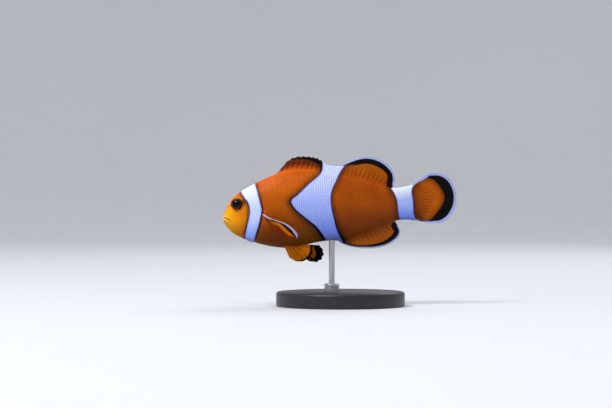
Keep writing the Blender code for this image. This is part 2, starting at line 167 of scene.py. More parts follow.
# Fins lean a little at their tips, and the flank rises into their feet.
DORSAL_LEAN = 0.4
ANAL_LEAN = 0.25
TAIL_LEAN = 0.35
NOTCH_BETWEEN_RAYS = 0.35
FOOT_REACH = 3.5
FOOT_BLEND = 0.7
FINS_FROM = 19.0

# Lines on the head, seen from the left, as (s, z).
GAPE = ((-0.8, 0.22), (0.1, 0.18), (1.1, -0.22), (2.05, -0.95))
LIP_END = (2.05, -0.95)
EYE = (4.85, 4.45)
EYE_RADIUS = 1.95
PUPIL = 0.76
EYE_TURN = math.radians(14)
EYE_TILT = math.radians(11)
EYE_DOME = 1.35
LENS_RISE = 0.12
# The eye's hidden back, as (share of its radius, height), and where it closes, in millimetres.
EYE_BACK = ((0.98, 0.2), (0.9, -0.3), (0.6, -0.7))
EYE_BACK_CLOSES = (0.01, -0.85)
NOSTRIL = (2.55, 4.05)
# Middle of the painted shade behind the eye.
EYE_SHADE_MIDDLE = (7.0, 4.9)
CHEEK_EDGE = (
    (8.6, 5.6), (8.45, 3.2), (8.3, 0.6), (7.9, -2.2), (6.9, -4.9), (5.2, -5.9), (3.6, -4.9),
)
GILL_EDGE = (
    (11.6, 8.6), (12.6, 6.5), (13.2, 4.0), (13.4, 2.0), (13.0, -0.4), (12.2, -3.0), (11.0, -6.0),
    (9.7, -8.6), (8.6, -9.4), (6.4, -7.75),
)
PECTORAL_ROOT = ((14.0, 0.5), (15.2, -5.1))

# Outlines of the white bars, as (s, z), running off the body above and below.
HEAD_BAR = (
    (6.1, 9.6), (6.5, 8.5), (7.2, 7.2), (8.0, 5.9), (8.7, 4.8), (9.1, 3.5), (9.2, 2.0), (9.0, 0.5),
    (8.5, -1.2), (7.9, -3.0), (7.3, -5.0), (6.9, -6.5), (6.9, -9.0), (8.2, -10.4), (9.6, -8.9),
    (10.3, -7.0), (11.0, -5.3), (11.8, -3.4), (12.4, -1.5), (13.0, 0.5), (13.3, 2.2), (13.0, 4.0),
    (12.6, 6.5), (12.1, 9.0), (11.6, 11.2), (11.3, 13.0), (8.0, 12.0),
)
MIDDLE_BAR = (
    (35.2, 17.6), (35.1, 16.0), (35.0, 14.5), (34.2, 12.8), (32.5, 11.3), (30.0, 9.5), (27.5, 7.4),
    (25.2, 5.6), (23.8, 4.65), (23.4, 3.85), (23.8, 2.7), (24.7, 1.2), (25.9, -0.1), (27.6, -1.7),
    (29.5, -3.4), (31.5, -5.4), (32.9, -7.5), (34.0, -9.5), (34.8, -12.0), (37.0, -13.4), (40.6, -13.2),
    (40.2, -11.8), (39.2, -9.6), (38.3, -7.3), (37.8, -5.0), (37.4, -2.5), (37.0, 0.5), (36.9, 3.0),
    (37.2, 5.5), (38.0, 7.6), (39.2, 9.6), (40.4, 11.8), (41.9, 13.9), (43.3, 15.4), (44.2, 16.6),
    (40.0, 18.4),
)
TAIL_BAR = (
    (57.4, 7.4), (57.9, 5.8), (58.6, 4.3), (59.3, 2.4), (59.6, 0.0), (59.6, -2.5), (59.9, -4.3),
    (60.4, -6.6), (63.0, -8.0), (66.6, -6.6), (65.5, -5.2), (65.0, -3.8), (65.0, -2.0), (65.1, 1.0),
    (64.9, 4.0), (65.3, 5.5), (66.6, 7.0), (63.0, 9.0),
)
# Width of the black line round the bars, by height: ahead of and behind the middle bar, and elsewhere.
LINE_AHEAD = ((-12, -8, -3, 1, 4, 7, 11, 13.5, 16), (1.15, 0.95, 0.55, 0.5, 0.55, 0.2, 0.16, 0.3, 0.55))
LINE_BEHIND = ((-12, -8, -4, 2, 8, 12), (1.0, 0.75, 0.38, 0.16, 0.13, 0.2))
LINE_ELSEWHERE = 0.15
# Where the tail fin's black starts and its clear root ends, and how the clear margin widens from there.
TAIL_BLACK_FROM = 66.4
TAIL_ROOT_CLEAR_TO = 66.8
TAIL_MARGIN_WIDENS = (66.5, 71.0)
# Where the back fin's spiny and soft parts meet, the black stays off the middle bar.
FIN_NOTCH = (33.0, 40.0)
# A distance that stands for no mark.
NO_MARK = -1.0

# How fine the skin's net is.
HEAD_STATIONS = 84
HEAD_STATIONS_TO = 13.9
SHOULDER_STEP = 0.3
FIN_STEP = 0.2
FIN_STEPS_FROM = 19.5
STALK_FROM = 58.4
STALK_STEP = 0.34
TAIL_STATIONS = 52
FLANK_POINTS = 100
DORSAL_POINTS = 20
ANAL_POINTS = 16
FLANK = slice(ANAL_POINTS, ANAL_POINTS + FLANK_POINTS)
SIDE_LINE = ANAL_POINTS + FLANK_POINTS // 2
POINTS_PER_RAY = 6
LINES_ALONG_FAN = 36
EYE_CORNERS = 72
MERGED_WITHIN = 1e-4
# A radius that stands for the axis of a turned piece.
ON_AXIS = 1e-6

# Scales: where rows start, how far before the tail's edge they stop, the pitch at places along the fish, how
# far apart rows and the scales in a row stand, in pitches, a plate's form, and its size on the bake map.
SCALE_ROWS_FROM = 5.0
SCALE_ROWS_STOP = 11.0
SCALE_PITCHES = ((0, 8, 16, 30, 50, 62, 72, 90), (0.46, 0.57, 0.78, 0.89, 0.84, 0.68, 0.5, 0.4))
ROW_STEP = 0.86
SCALE_STEP = 0.92
SCALE_CORNERS = 10
SCALE_MIDDLE = 0.36
SCALE_HALF_LENGTH = 0.68
SCALE_HALF_WIDTH = 0.64
SCALE_ON_MAP = 0.0015 / SCALE_HALF_LENGTH
SCALE_SEED = 7
# Where scales grow in on the face and die out on the tail fin, and how far they stand off eye, lips and gill.
FACE_SCALES = (4.2, 8.6)
TAIL_SCALES = (65.0, 69.5)
BARE_ROUND_EYE = 3.0
BARE_ABOVE_EYE = 2.6
BARE_ROUND_LIPS = 2.6
GILL_GROOVE = (-0.35, 0.5)
GILL_GROOVE_HEIGHTS = (-8.8, 6.6)
# Rows that stand further apart than at the side line: up to where scales lengthen, and where they stop.
LENGTHENED_TO = 1.6
NO_SCALES_FROM = 1.9
# Scales lie lower with less room than this to the fins' feet, and keep this far off them.
ROOM_FOR_SCALES = 2.0
OFF_THE_FEET = 0.15

# The stand: the base's edges rounded below and above, its groove as (in from the rim, depth), the collar's
# waist and rounding, and the collar's bore for the rod.
BASE_ROUNDED = (0.4, 0.9)
BASE_GROOVE = ((2.6, 0.0), (2.75, 0.12), (3.0, 0.12), (3.15, 0.0))
COLLAR_WAIST = 0.25
COLLAR_ROUNDED = 0.35
COLLAR_BORE = 1.06
# The floor, in lengths of the fish: how far it lies flat, and the radius of the bend up into the wall.
FLOOR_REACH = 13
FLOOR_BEND = 20

# The view: how wide it is at the fish, and where its middle lies from the mouth, in the fish's millimetres.
VIEW_WIDTH = 209.4
VIEW_AIM = (28.1, 4.93)
VIEW_FROM = 640.0

# The fish's sides, by the direction of y.
SIDES = ((-1, "left"), (1, "right"))
# The solids that the one skin stands for.
SKIN_NODES = (
    "head", "lower_jaw", "gill_cover_left", "gill_cover_right", "trunk", "tail_stalk",
    "dorsal_fin_front", "dorsal_fin_rear", "anal_fin", "caudal_fin",
)


# ---- curves and distances


def through(knots, values, at):
    """A smooth curve through the values at the knots, read at the given places."""
    knots, values, at = (np.asarray(x, float) for x in (knots, values, at))
    slopes = np.gradient(values, knots)
    i = np.clip(np.searchsorted(knots, at) - 1, 0, len(knots) - 2)
    span = knots[i + 1] - knots[i]
    t = np.clip((at - knots[i]) / span, 0, 1)
    start = (1 + 2 * t) * (1 - t) ** 2 * values[i] + t * (1 - t) ** 2 * span * slopes[i]
    end = t * t * (3 - 2 * t) * values[i + 1] + t * t * (t - 1) * span * slopes[i + 1]
    return start + end


def columns_at(table, at):
    """Each further column of a table, read at places along its first."""
    return [through(table[:, 0], column, at) for column in table[:, 1:].T]


def evenly(values, at):
    """A smooth curve through values that stand evenly from 0 to 1."""
    return through(np.linspace(0, 1, len(values)), values, at)


def lengths_along(line):
    """Length from the first point of a line to each of its points."""
    return np.concatenate([[0], np.cumsum(np.linalg.norm(np.diff(line, axis=0), axis=1))])


def curved(line, closed=False, steps=4):
    """A smooth curve through the points of a line or a closed outline."""
    line = np.array(line, float)
    if closed:
        line = np.concatenate([line[-2:], line, line[:3]])
    along = lengths_along(line)
    first, last = (2, len(line) - 3) if closed else (0, len(line) - 1)
    read = np.interp(np.linspace(first, last, (last - first) * steps + 1), np.arange(len(line)), along)
    return np.stack([through(along, column, read) for column in line.T], axis=1)


def smooth_step(low, high, x):
    t = np.clip((np.asarray(x, float) - low) / (high - low), 0, 1)
    return t * t * (3 - 2 * t)


def bell(x, width):
    """1 at x = 0, fading to either side."""
    return np.exp(-((np.asarray(x, float) / width) ** 2))


def soft_greater(a, b, blend):
    """The greater of a and b, with the crossing rounded."""
    h = np.clip(0.5 + 0.5 * (a - b) / blend, 0, 1)
    return b * (1 - h) + a * h + blend * h * (1 - h)


def round_tip(along, start):
    """1 along a fin, falling to 0 in a quarter turn from start to its tip."""
    return np.sqrt(np.clip(1 - ((along - start) / (1 - start)).clip(0, 1) ** 2, 0, 1))


def line_distance(s, z, line):
    """Distance of every point to a line of points, and on which side of it the point lies."""
    best = np.full(np.shape(s), 1e9)
    side = np.zeros(np.shape(s))
    for (s0, z0), (s1, z1) in zip(line[:-1], line[1:]):
        ds, dz = s1 - s0, z1 - z0
        t = np.clip(((s - s0) * ds + (z - z0) * dz) / (ds * ds + dz * dz + 1e-12), 0, 1)
        distance = np.hypot(s - s0 - t * ds, z - z0 - t * dz)
        nearer = distance < best
        best = np.where(nearer, distance, best)
        side = np.where(nearer, np.sign(ds * (z - z0) - dz * (s - s0)), side)
    return best, side


def ahead_of(s, z, line):
    """Distance ahead of a smoothed line that runs down the head, and less than nothing behind it."""
    distance, side = line_distance(s, z, curved(line))
    return np.where(side > 0, -distance, distance)


def inside_distance(s, z, outline):
    """Distance to a smoothed closed outline: positive inside it, negative outside."""
    ring = curved(outline, closed=True)
    distance = line_distance(s, z, ring)[0]
    crossings = np.zeros(np.shape(s), int)
    for (s0, z0), (s1, z1) in zip(ring[:-1], ring[1:]):
        spans = (z0 > z) != (z1 > z)
        rise = z1 - z0 if abs(z1 - z0) > 1e-12 else 1e-12
        crossings += spans & (s < (s1 - s0) * (z - z0) / rise + s0)
    return np.where(crossings % 2 == 1, distance, -distance)


def between(values, ends):
    return (values > ends[0]) & (values < ends[1])


def ripples(phase, sharpness=1.0):
    """0 between rays to 1 on them."""
    return (0.5 + 0.5 * np.cos(2 * np.pi * phase)) ** sharpness


def forked(phase, along, fork_at=0.35):
    """Rays that part in two beyond fork_at of the way to their tips."""
    parted = ripples(2 * phase + 0.5) - ripples(phase)
    return ripples(phase) + parted * smooth_step(fork_at, fork_at + 0.2, along)


# ---- from the fish's frame to the model's


def swing(s):
    """How far the fish's middle stands to the right of a straight line at s."""
    head = HEAD_SWING * np.clip((HEAD_SWING_FROM - s) / HEAD_SWING_FROM, 0, None) ** 2
    tail = TAIL_SWING * np.clip((s - TAIL_SWING_FROM) / (LENGTH - TAIL_SWING_FROM), 0, None) ** 2
    return head + tail


JAW_LOW, JAW_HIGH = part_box("lower_jaw")
CAUDAL_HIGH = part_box("caudal_fin")[1]
UNIT = (CAUDAL_HIGH[0] - JAW_LOW[0]) / SNOUT_TO_TAIL
MOUTH = Vector((JAW_LOW[0] + MOUTH_BEHIND_JAW_TIP * UNIT, 0.0, JAW_HIGH[2] + MOUTH_ABOVE_JAW * UNIT))


def placed(points):
    """Points of the straight fish, in its millimetres, where they lie in the model, in metres."""
    points = np.array(points, float)
    s, y, z = points[..., 0], points[..., 1] + swing(points[..., 0]), points[..., 2]
    x = MOUTH.x + UNIT * (s * math.cos(PITCH) - z * math.sin(PITCH))
    return np.stack([x, UNIT * y, MOUTH.z + UNIT * (s * math.sin(PITCH) + z * math.cos(PITCH))], axis=-1)


def blunted(s):
    """The distance along the body, stretched near the snout so that its end comes out round."""
    return np.sqrt(np.maximum(np.asarray(s, float) - SNOUT, 0))


# ---- the skin's net


def filled(shape, **values):
    """Each value spread over a net of this shape."""
    return {key: np.broadcast_to(value, shape) for key, value in values.items()}


def even_turns(count):
    """Angles from belly to back that stand evenly along a section twice as high as it is wide."""
    angle = np.linspace(-math.pi / 2, math.pi / 2, 2001)
    step = np.sqrt(4 * np.cos(angle) ** 2 + np.sin(angle) ** 2)
    along = np.concatenate([[0], np.cumsum((step[1:] + step[:-1]) / 2)])
    return np.interp(np.linspace(0, along[-1], count), along, angle)


def stations():
    """The places along the body, closer on the round snout and where fins stand."""
    head = np.linspace(0.13, float(blunted(HEAD_STATIONS_TO)), HEAD_STATIONS) ** 2 + SNOUT
    shoulder = np.arange(HEAD_STATIONS_TO + SHOULDER_STEP, FIN_STEPS_FROM - 0.1, SHOULDER_STEP)
    finned = np.arange(FIN_STEPS_FROM, STALK_FROM, FIN_STEP)
    stalk = np.arange(STALK_FROM, BODY_END, STALK_STEP)
    return np.concatenate([head, shoulder, finned, stalk, [BODY_END]])


def section(s, angle):
    """(z, half width) of the body at s and angle, a coat's depth inside the true outline."""
    body = np.column_stack([blunted(BODY[:, 0]), BODY[:, 1:]])
    back, belly, half_width, widest = columns_at(body, blunted(s))
    above, below = columns_at(ROUNDNESS, s)
    power = 2 / np.where(angle > 0, above, below)
    height = np.maximum(np.where(angle > 0, back - widest, widest - belly) - COAT, 0.02)
    z = widest + height * np.sign(angle) * np.abs(np.sin(angle)) ** power
    y = np.maximum(half_width - COAT, 0.02) * np.maximum(np.cos(angle), 0) ** power
    return z, y


def fin_rays(table, s, end_fade=0.5):
    """Tips and marking widths of a midline fin for feet at s. Beyond its ends the fin shrinks away."""
    there = smooth_step(table[0, 0] - end_fade, table[0, 0], s)
    there = there * (1 - smooth_step(table[-1, 0], table[-1, 0] + end_fade, s))
    return [*columns_at(table, s), there]


def fin_points(s, edge_z, table, lines, phase, sharpness, lean):
    """A midline fin's points for every station and line out to its tip, with all that is known of them."""
    along = np.linspace(0, 1, lines + 1) ** 0.9
    tip_s, tip_z, band, clear, there = fin_rays(table, s)
    spiny = s < SPINES_END
    notch = NOTCH_BETWEEN_RAYS * (1 - ripples(phase, sharpness)) * np.where(spiny, 1.0, 0.35)
    length = np.hypot(tip_s - s, tip_z - edge_z)
    reach = there * (1 - notch / np.maximum(length, 1.0))
    share = along[None, :] * reach[:, None]
    out_s = s[:, None] + (tip_s - s)[:, None] * share
    out_z = edge_z[:, None] + (tip_z - edge_z)[:, None] * share
    soft_ray = forked(phase[:, None], along[None, :])
    ray = np.where(spiny[:, None], ripples(phase, sharpness)[:, None], soft_ray)
    sheet = through(*FIN_THICKNESS, along)
    half = sheet * (0.62 + 0.38 * ray) * round_tip(along, 0.97) * np.minimum(length * there / 0.8, 1)[:, None]
    edge = curved(np.stack([tip_s, tip_z], axis=1)[there > 0.5], steps=1)
    return filled(
        out_s.shape, s=out_s, z=out_z, half=half, lean=lean * share**2, ray=ray * there[:, None],
        along=along[None, :] * there[:, None], from_edge=line_distance(out_s, out_z, edge[::3])[0],
        band=band[:, None], clear=clear[:, None],
    )


def half_skin():
    """The skin's right half as a net [station, point], from the anal fin's edge to the back fin's."""
    s = stations()
    shape = (len(s), FLANK_POINTS)
    grid_s, grid_angle = (np.broadcast_to(values, shape) for values in (s[:, None], even_turns(FLANK_POINTS)))
    z, y = section(grid_s, grid_angle)
    spines, soft_rays = (s - SPINES_FROM) / SPINE_PITCH, (s - SOFT_RAYS_FROM) / SOFT_RAY_PITCH
    phase = np.where(s < SPINES_END, spines, soft_rays)
    dorsal = fin_points(s, z[:, -1], DORSAL, DORSAL_POINTS, phase, 2.0, DORSAL_LEAN)
    phase = (s - ANAL_RAYS_FROM) / ANAL_RAY_PITCH
    anal = fin_points(s, z[:, 0], ANAL, ANAL_POINTS, phase, 1.0, ANAL_LEAN)

    # Where a fin stands, the flank rises smoothly into its foot.
    top_foot = dorsal["half"][:, :1] * smooth_step(FOOT_REACH, 0.0, z[:, -1:] - z)
    low_foot = anal["half"][:, :1] * smooth_step(FOOT_REACH, 0.0, z - z[:, :1])
    foot = np.maximum(top_foot, low_foot)
    half = np.where(foot > 0.01, soft_greater(y, foot, FOOT_BLEND), y)
    for fin in (dorsal, anal):
        raised = soft_greater(-3.0 * fin["along"], fin["half"], FOOT_BLEND)
        fin["half"] = np.where((fin["half"] > 1e-4) & (fin["along"] < 0.9), raised, fin["half"])
    flank = dict.fromkeys(dorsal, np.zeros(shape))
    flank.update(s=grid_s, z=z, half=half, from_edge=np.full(shape, 9.0))
    net = {}
    for key in flank:
        net[key] = np.concatenate([anal[key][:, :0:-1], flank[key], dorsal[key][:, 1:]], axis=1)
    up = (np.zeros((len(s), ANAL_POINTS)), 0.5 + 0.5 * np.sin(grid_angle), np.ones((len(s), DORSAL_POINTS)))
    net.update(filled(net["s"].shape, tail=0.0, paired=0.0), up=np.concatenate(up, axis=1))
    return with_tail_fin(net)


def with_tail_fin(net):
    """The net carried on through the tail fin, whose rays start where the last station's points lie."""
    last_s, last_z, last_half = (net[key][-1] for key in ("s", "z", "half"))
    down = (last_z.max() - last_z) / (last_z.max() - last_z.min())
    tip_s, tip_z, band, clear = columns_at(CAUDAL, down)
    along = np.linspace(0, 1, TAIL_STATIONS + 1)[1:, None] ** 0.95
    phase = 0.5 + down * CAUDAL_RAYS
    ray = forked(phase, along, 0.3)
    share = along * (1 - 0.018 * (1 - ripples(2 * phase)))
    s = last_s + (tip_s - last_s) * share
    z = last_z + (tip_z - last_z) * share
    edge_on = np.clip(1 - (2 * down - 1) ** 8, 0, 1) ** 0.5
    sheet = through(*TAIL_THICKNESS, along) * (0.66 + 0.34 * ray)
    sheet = sheet * round_tip(along, 0.975) * edge_on
    body = last_half * (1 - smooth_step(0, 0.42, along))
    half = np.where(edge_on > 0, soft_greater(body, sheet, 0.3 * edge_on + 1e-6), 0) * (along < 1)
    outline = [CAUDAL_ROOTS[0], *zip(tip_s[::-2], tip_z[::-2]), CAUDAL_ROOTS[1]]
    tail = filled(
        s.shape, s=s, z=z, half=half, lean=TAIL_LEAN * np.sin(np.pi * along), ray=ray, along=along, band=band,
        clear=clear, from_edge=line_distance(s, z, outline)[0], tail=1.0, paired=0.0, up=1 - down,
    )
    return {key: np.concatenate([net[key], tail[key]]) for key in net}


def head_relief(s, z):
    """How far the head stands out from its plain form, then its marks: painted shade in creases, the lips,
    and painted shade behind the eye.
    """
    gape = line_distance(s, z, curved(GAPE))[0]
    past_lips = s - LIP_END[0]
    lip_fade = np.where(past_lips > -0.9, np.clip(1 - (past_lips + 0.9) / 1.3, 0, 1), 1.0)
    lip = bell(gape - 0.52, 0.30) * lip_fade
    slit = bell(gape, 0.17) * smooth_step(0.9, 0.0, np.hypot(past_lips, z - LIP_END[1]) * (past_lips > 0))
    relief = 0.23 * lip - 0.42 * slit - 0.10 * bell(gape - 1.08, 0.2) * lip_fade

    cheek = ahead_of(s, z, CHEEK_EDGE)
    relief += 0.11 * smooth_step(1.8, 0.1, cheek) * (cheek > 0) - 0.14 * bell(cheek, 0.17)

    gill = ahead_of(s, z, GILL_EDGE)
    on_gill = smooth_step(6.4, 8.5, s) * smooth_step(8.3, 5.6, z)
    cover = np.where(gill > 0, smooth_step(5.0, 0.0, gill), smooth_step(0.12, 0.0, -gill))
    relief += 0.24 * on_gill * cover
    relief -= 0.20 * on_gill * bell(gill + 0.25, 0.22)

    from_lid = np.hypot(s - EYE[0], z - EYE[1]) - EYE_RADIUS
    relief += 0.16 * bell(from_lid - 0.28, 0.24) - 0.10 * bell(from_lid - 0.85, 0.3)
    relief -= 1.7 * smooth_step(-0.02, -0.45, from_lid)

    nostril = np.hypot(s - NOSTRIL[0], z - NOSTRIL[1])
    relief += 0.12 * bell(nostril - 0.36, 0.14) - 0.34 * bell(nostril, 0.2)
    relief += 0.42 * bell(line_distance(s, z, PECTORAL_ROOT)[0], 1.2)

    creases = (0.5 * slit, 0.55 * bell(cheek, 0.15), 0.8 * on_gill * bell(gill + 0.2, 0.2))
    shade = np.maximum.reduce([*creases, bell(nostril, 0.2), 0.6 * bell(from_lid + 0.02, 0.14)])
    # Painted shade round the eye, strongest behind and below it, and a patch of it further back.
    behind = 0.9 * (s - EYE[0]) + 0.44 * (EYE[1] - z)
    from_eye = np.maximum(from_lid, 0)
    shade_halo = (0.6 * bell(from_eye, 0.55) + 0.2 * bell(from_eye, 2.2)) * smooth_step(-1.6, 1.4, behind)
    smudge = np.maximum(bell(np.hypot((s - EYE_SHADE_MIDDLE[0]) / 1.15, (z - EYE_SHADE_MIDDLE[1]) / 1.25), 1.3), shade_halo)
    return relief, shade, lip, smudge


def outward(points):
    """Unit normals of a net of the fish's right side, away from the body. On the left they point inward."""
    normal = -np.cross(np.gradient(points, axis=0), np.gradient(points, axis=1))
    return normal / np.maximum(np.linalg.norm(normal, axis=-1, keepdims=True), 1e-9)


def line_width(s, z):
    """Width of the black line round the white bars: thin above, widest at the foot of the middle bar."""
    middle = np.where(s < 36, through(*LINE_AHEAD, z), through(*LINE_BEHIND, z))
    return np.where((s > 20) & (s < 50), middle, LINE_ELSEWHERE)


def markings(net):
    """The distances that the materials paint from, for points of the fish."""
    s, z, on_tail = net["s"], net["z"], net["tail"] > 0
    bars = (HEAD_BAR, MIDDLE_BAR, TAIL_BAR)
    net["bar"] = np.maximum.reduce([inside_distance(s, z, outline) for outline in bars])
    net["line"] = line_width(s, z)
    ragged = 0.3 * (net["ray"] - 0.5) * net["along"]
    black = (net["band"] + net["clear"]) - net["from_edge"] - ragged * np.minimum(net["band"], 1.0)
    black = np.where(net["band"] > 0.02, black, NO_MARK)
    in_notch = between(s, FIN_NOTCH) & (z > 12.0)
    black = np.where(in_notch, np.minimum(black, -net["bar"] - 0.06), black)
    clear = net["clear"] * np.where(on_tail, 0.35 + 0.65 * smooth_step(*TAIL_MARGIN_WIDENS, s), 1.0)
    rim = np.where(net["clear"] > 0.02, clear - net["from_edge"], NO_MARK)
    # On the tail fin the black lies between the orange patch and the clear margin, from behind its root on.
    off_patch = -inside_distance(s, z, TAIL_PATCH) - 0.5 * (net["ray"] - 0.5) * smooth_step(68.0, 74.0, s)
    net["black"] = np.where(on_tail, np.minimum(off_patch, 0.8 * (s - TAIL_BLACK_FROM)), black)
    net["rim"] = np.where(on_tail, np.maximum(rim, np.minimum(off_patch, TAIL_ROOT_CLEAR_TO - s)), rim)
    return net


PAINT = ("bar", "line", "black", "rim", "ray", "along", "up", "shade", "lip", "smudge", "paired")


# ---- meshes


def mesh_from(name, points, faces, paint, corner_uv=None):
    """A smooth mesh object with its painting distances and, where given, its bake map."""
    mesh = bpy.data.meshes.new(name)
    mesh.from_pydata(points.tolist(), [], faces)
    mesh.shade_smooth()
    for key, values in paint.items():
        vector = values.ndim == 2
        layer = mesh.attributes.new(key, "FLOAT_VECTOR" if vector else "FLOAT", "POINT")
        layer.data.foreach_set("vector" if vector else "value", values.astype(np.float32).ravel())
    if corner_uv is not None:
        layer = mesh.uv_layers.new(name="OFBake")
        layer.data.foreach_set("uv", corner_uv.astype(np.float32).ravel())
    obj = bpy.data.objects.new(name, mesh)
    bpy.context.scene.collection.objects.link(obj)
    return obj


def sheet_mesh(name, one, other, paint, uv):
    """A closed skin over two nets that meet at their edges. The first row is capped, and points that coincide
    are made one. paint holds values for a net, and uv has places for one net's points, then the other's."""
    rows, columns = one.shape[:2]
    points = np.concatenate([one.reshape(-1, 3), other.reshape(-1, 3)])
    near = np.arange(rows * columns).reshape(rows, columns)
    far = near + rows * columns
    quads = np.concatenate([
        np.stack([near[:-1, :-1], near[1:, :-1], near[1:, 1:], near[:-1, 1:]], axis=-1).reshape(-1, 4),
        np.stack([far[:-1, :-1], far[:-1, 1:], far[1:, 1:], far[1:, :-1]], axis=-1).reshape(-1, 4),
        np.stack([near[0, :-1], near[0, 1:], far[0, 1:], far[0, :-1]], axis=-1),
    ])
    cells = np.round(points / MERGED_WITHIN)
    _, first, same = np.unique(cells, axis=0, return_index=True, return_inverse=True)
    same = same.reshape(-1)
    faces, corners = [], []
    for quad, merged in zip(quads.tolist(), same[quads].tolist()):
        kept = [k for k in range(4) if merged[k] != merged[k - 1]]
        face = [merged[k] for k in kept]
        if len(set(face)) == len(face) >= 3:
            faces.append(face)
            corners += [quad[k] for k in kept]
    paint = {key: np.tile(np.ravel(paint[key]), 2)[first] for key in PAINT}
    paint["at"] = points[first]
    return mesh_from(name, placed(points[first]), faces, paint, uv[np.array(corners)])


def side_points(net, side):
    """A net's points on the fish's right (1) or left (-1) side."""
    return np.stack([net["s"], net["lean"] + side * net["half"], net["z"]], axis=-1)


def whole_skin(net):
    """Body, midline fins and tail fin as one closed skin."""
    uv = np.concatenate([bake_place(net, side).reshape(-1, 2) for side in (-1, 1)])
    return sheet_mesh("fish_skin", side_points(net, -1), side_points(net, 1), net, uv)


def net_lengths(net):
    """Length along the fish's side line, by station, and up or down from that line, by point."""
    points = np.stack([net["s"], net["half"], net["z"]], axis=-1)
    steps = np.linalg.norm(np.diff(points, axis=1), axis=2)
    across = np.concatenate([np.zeros((len(points), 1)), np.cumsum(steps, axis=1)], axis=1)
    return lengths_along(points[:, SIDE_LINE]), across - across[:, SIDE_LINE : SIDE_LINE + 1]


def bake_place(net, side):
    """Where each point lies on the unwrapped skin: the left side below, the right side above."""
    along, across = net_lengths(net)
    u = 0.01 + 0.98 * along / along[-1]
    v = (0.25 if side < 0 else 0.75) + 0.24 * across / (across.max() - across.min())
    return np.stack([np.broadcast_to(u[:, None], v.shape), v], axis=-1)


def sculpted(net):
    """The net with the head's relief. Ahead of the fins, the points of fins lie on the body's midline."""
    points = np.stack([net["s"], net["half"], net["z"]], axis=-1)
    s, z = net["s"][:, FLANK], net["z"][:, FLANK]
    relief, *marks = head_relief(s, z)
    fade = smooth_step(FINS_FROM + 0.5, FINS_FROM - 1.5, s)
    normal = outward(points[:, FLANK])
    normal[:, (0, -1), 1] = 0.0
    moved = points[:, FLANK] + normal * (relief * fade)[..., None]
    moved[..., 1] = np.maximum(moved[..., 1], 0.0)
    points[:, FLANK] = moved
    finless = (net["s"] < FINS_FROM)[..., None]
    for fin, edge in ((slice(None, FLANK.start), moved[:, :1]), (slice(FLANK.stop, None), moved[:, -1:])):
        points[:, fin] = np.where(finless[:, fin], edge, points[:, fin])
    points[:, (0, -1), 1] = 0.0
    net = dict(net, s=points[..., 0], half=points[..., 1], z=points[..., 2])
    for key, values in zip(("shade", "lip", "smudge"), marks):
        net[key] = np.zeros_like(net["s"])
        net[key][:, FLANK] = values * fade
    return net


# ---- the paired fins


def paired_fin(name, side, rays, foot, tips, bow, band, clear, pleat):
    """A fan of rays from a foot sunk in the body, pleated between its rays, with its band and margin."""
    foot, tips, bow = (np.array(rows) * (1.0, side, 1.0) for rows in (foot, tips, bow))
    across = np.linspace(0, 1, rays * POINTS_PER_RAY + 1)
    along = np.linspace(0, 1, LINES_ALONG_FAN)[:, None] ** 0.92
    start = foot[0] + (foot[1] - foot[0]) * across[:, None]
    end = np.stack([evenly(column, across) for column in tips.T], axis=1)
    phase = across * (rays - 1)
    ray = forked(phase, along, 0.45)
    share = (along * (1 - 0.03 * (1 - ripples(phase))))[..., None]
    bowed = bow[0] * (1 - across[:, None]) + bow[1] * across[:, None]
    middle = start * (1 - share) + end * share + 4 * share * (1 - share) * bowed
    normal = np.cross(np.gradient(middle, axis=0), np.gradient(middle, axis=1))
    normal /= np.linalg.norm(normal, axis=-1, keepdims=True)
    middle = middle + normal * (pleat * (ripples(phase) - 0.5) * smooth_step(0.1, 0.5, along))[..., None]
    half = through(*FAN_THICKNESS, along) * (0.6 + 0.4 * ray)
    half = half * round_tip(along, 0.97) * np.clip(1 - (2 * across - 1) ** 24, 0, 1) ** 0.5
    from_tip = (1 - share[..., 0]) * np.linalg.norm(end - start, axis=1)
    from_front = across * np.linalg.norm(np.gradient(middle, across, axis=1), axis=-1)
    # On the paired fins, up paints light and shade: lighter at the leading rays, painted shade towards the
    # last; shade paints shade at the foot.
    net = filled(
        ray.shape, s=middle[..., 0], z=middle[..., 2], ray=ray, along=along,
        from_edge=np.minimum(from_tip, from_front + 0.1),
        band=evenly(band, across) * smooth_step(0.25, 0.55, along),
        clear=evenly(clear, across) * smooth_step(0.02, 0.2, along),
        up=through((0, 0.75, 0.92, 1), (0.6, 0.5, 0.25, 0.1), across),
        shade=0.5 * bell(along - 0.02, 0.06), lip=0.0, smudge=0.0, tail=0.0,
        paired=1.0 if rays == PECTORAL_RAYS else 1.3,
    )
    net = dict(markings(net), bar=np.full(ray.shape, -9.0))
    place = filled(ray.shape, u=0.02 + 0.96 * along, v=0.46 * across)
    uv = [np.stack([place["u"], low + place["v"]], axis=-1).reshape(-1, 2) for low in (0.02, 0.52)]
    thick = normal * half[..., None]
    return sheet_mesh(name, middle + thick, middle - thick, net, np.concatenate(uv))


# ---- scales


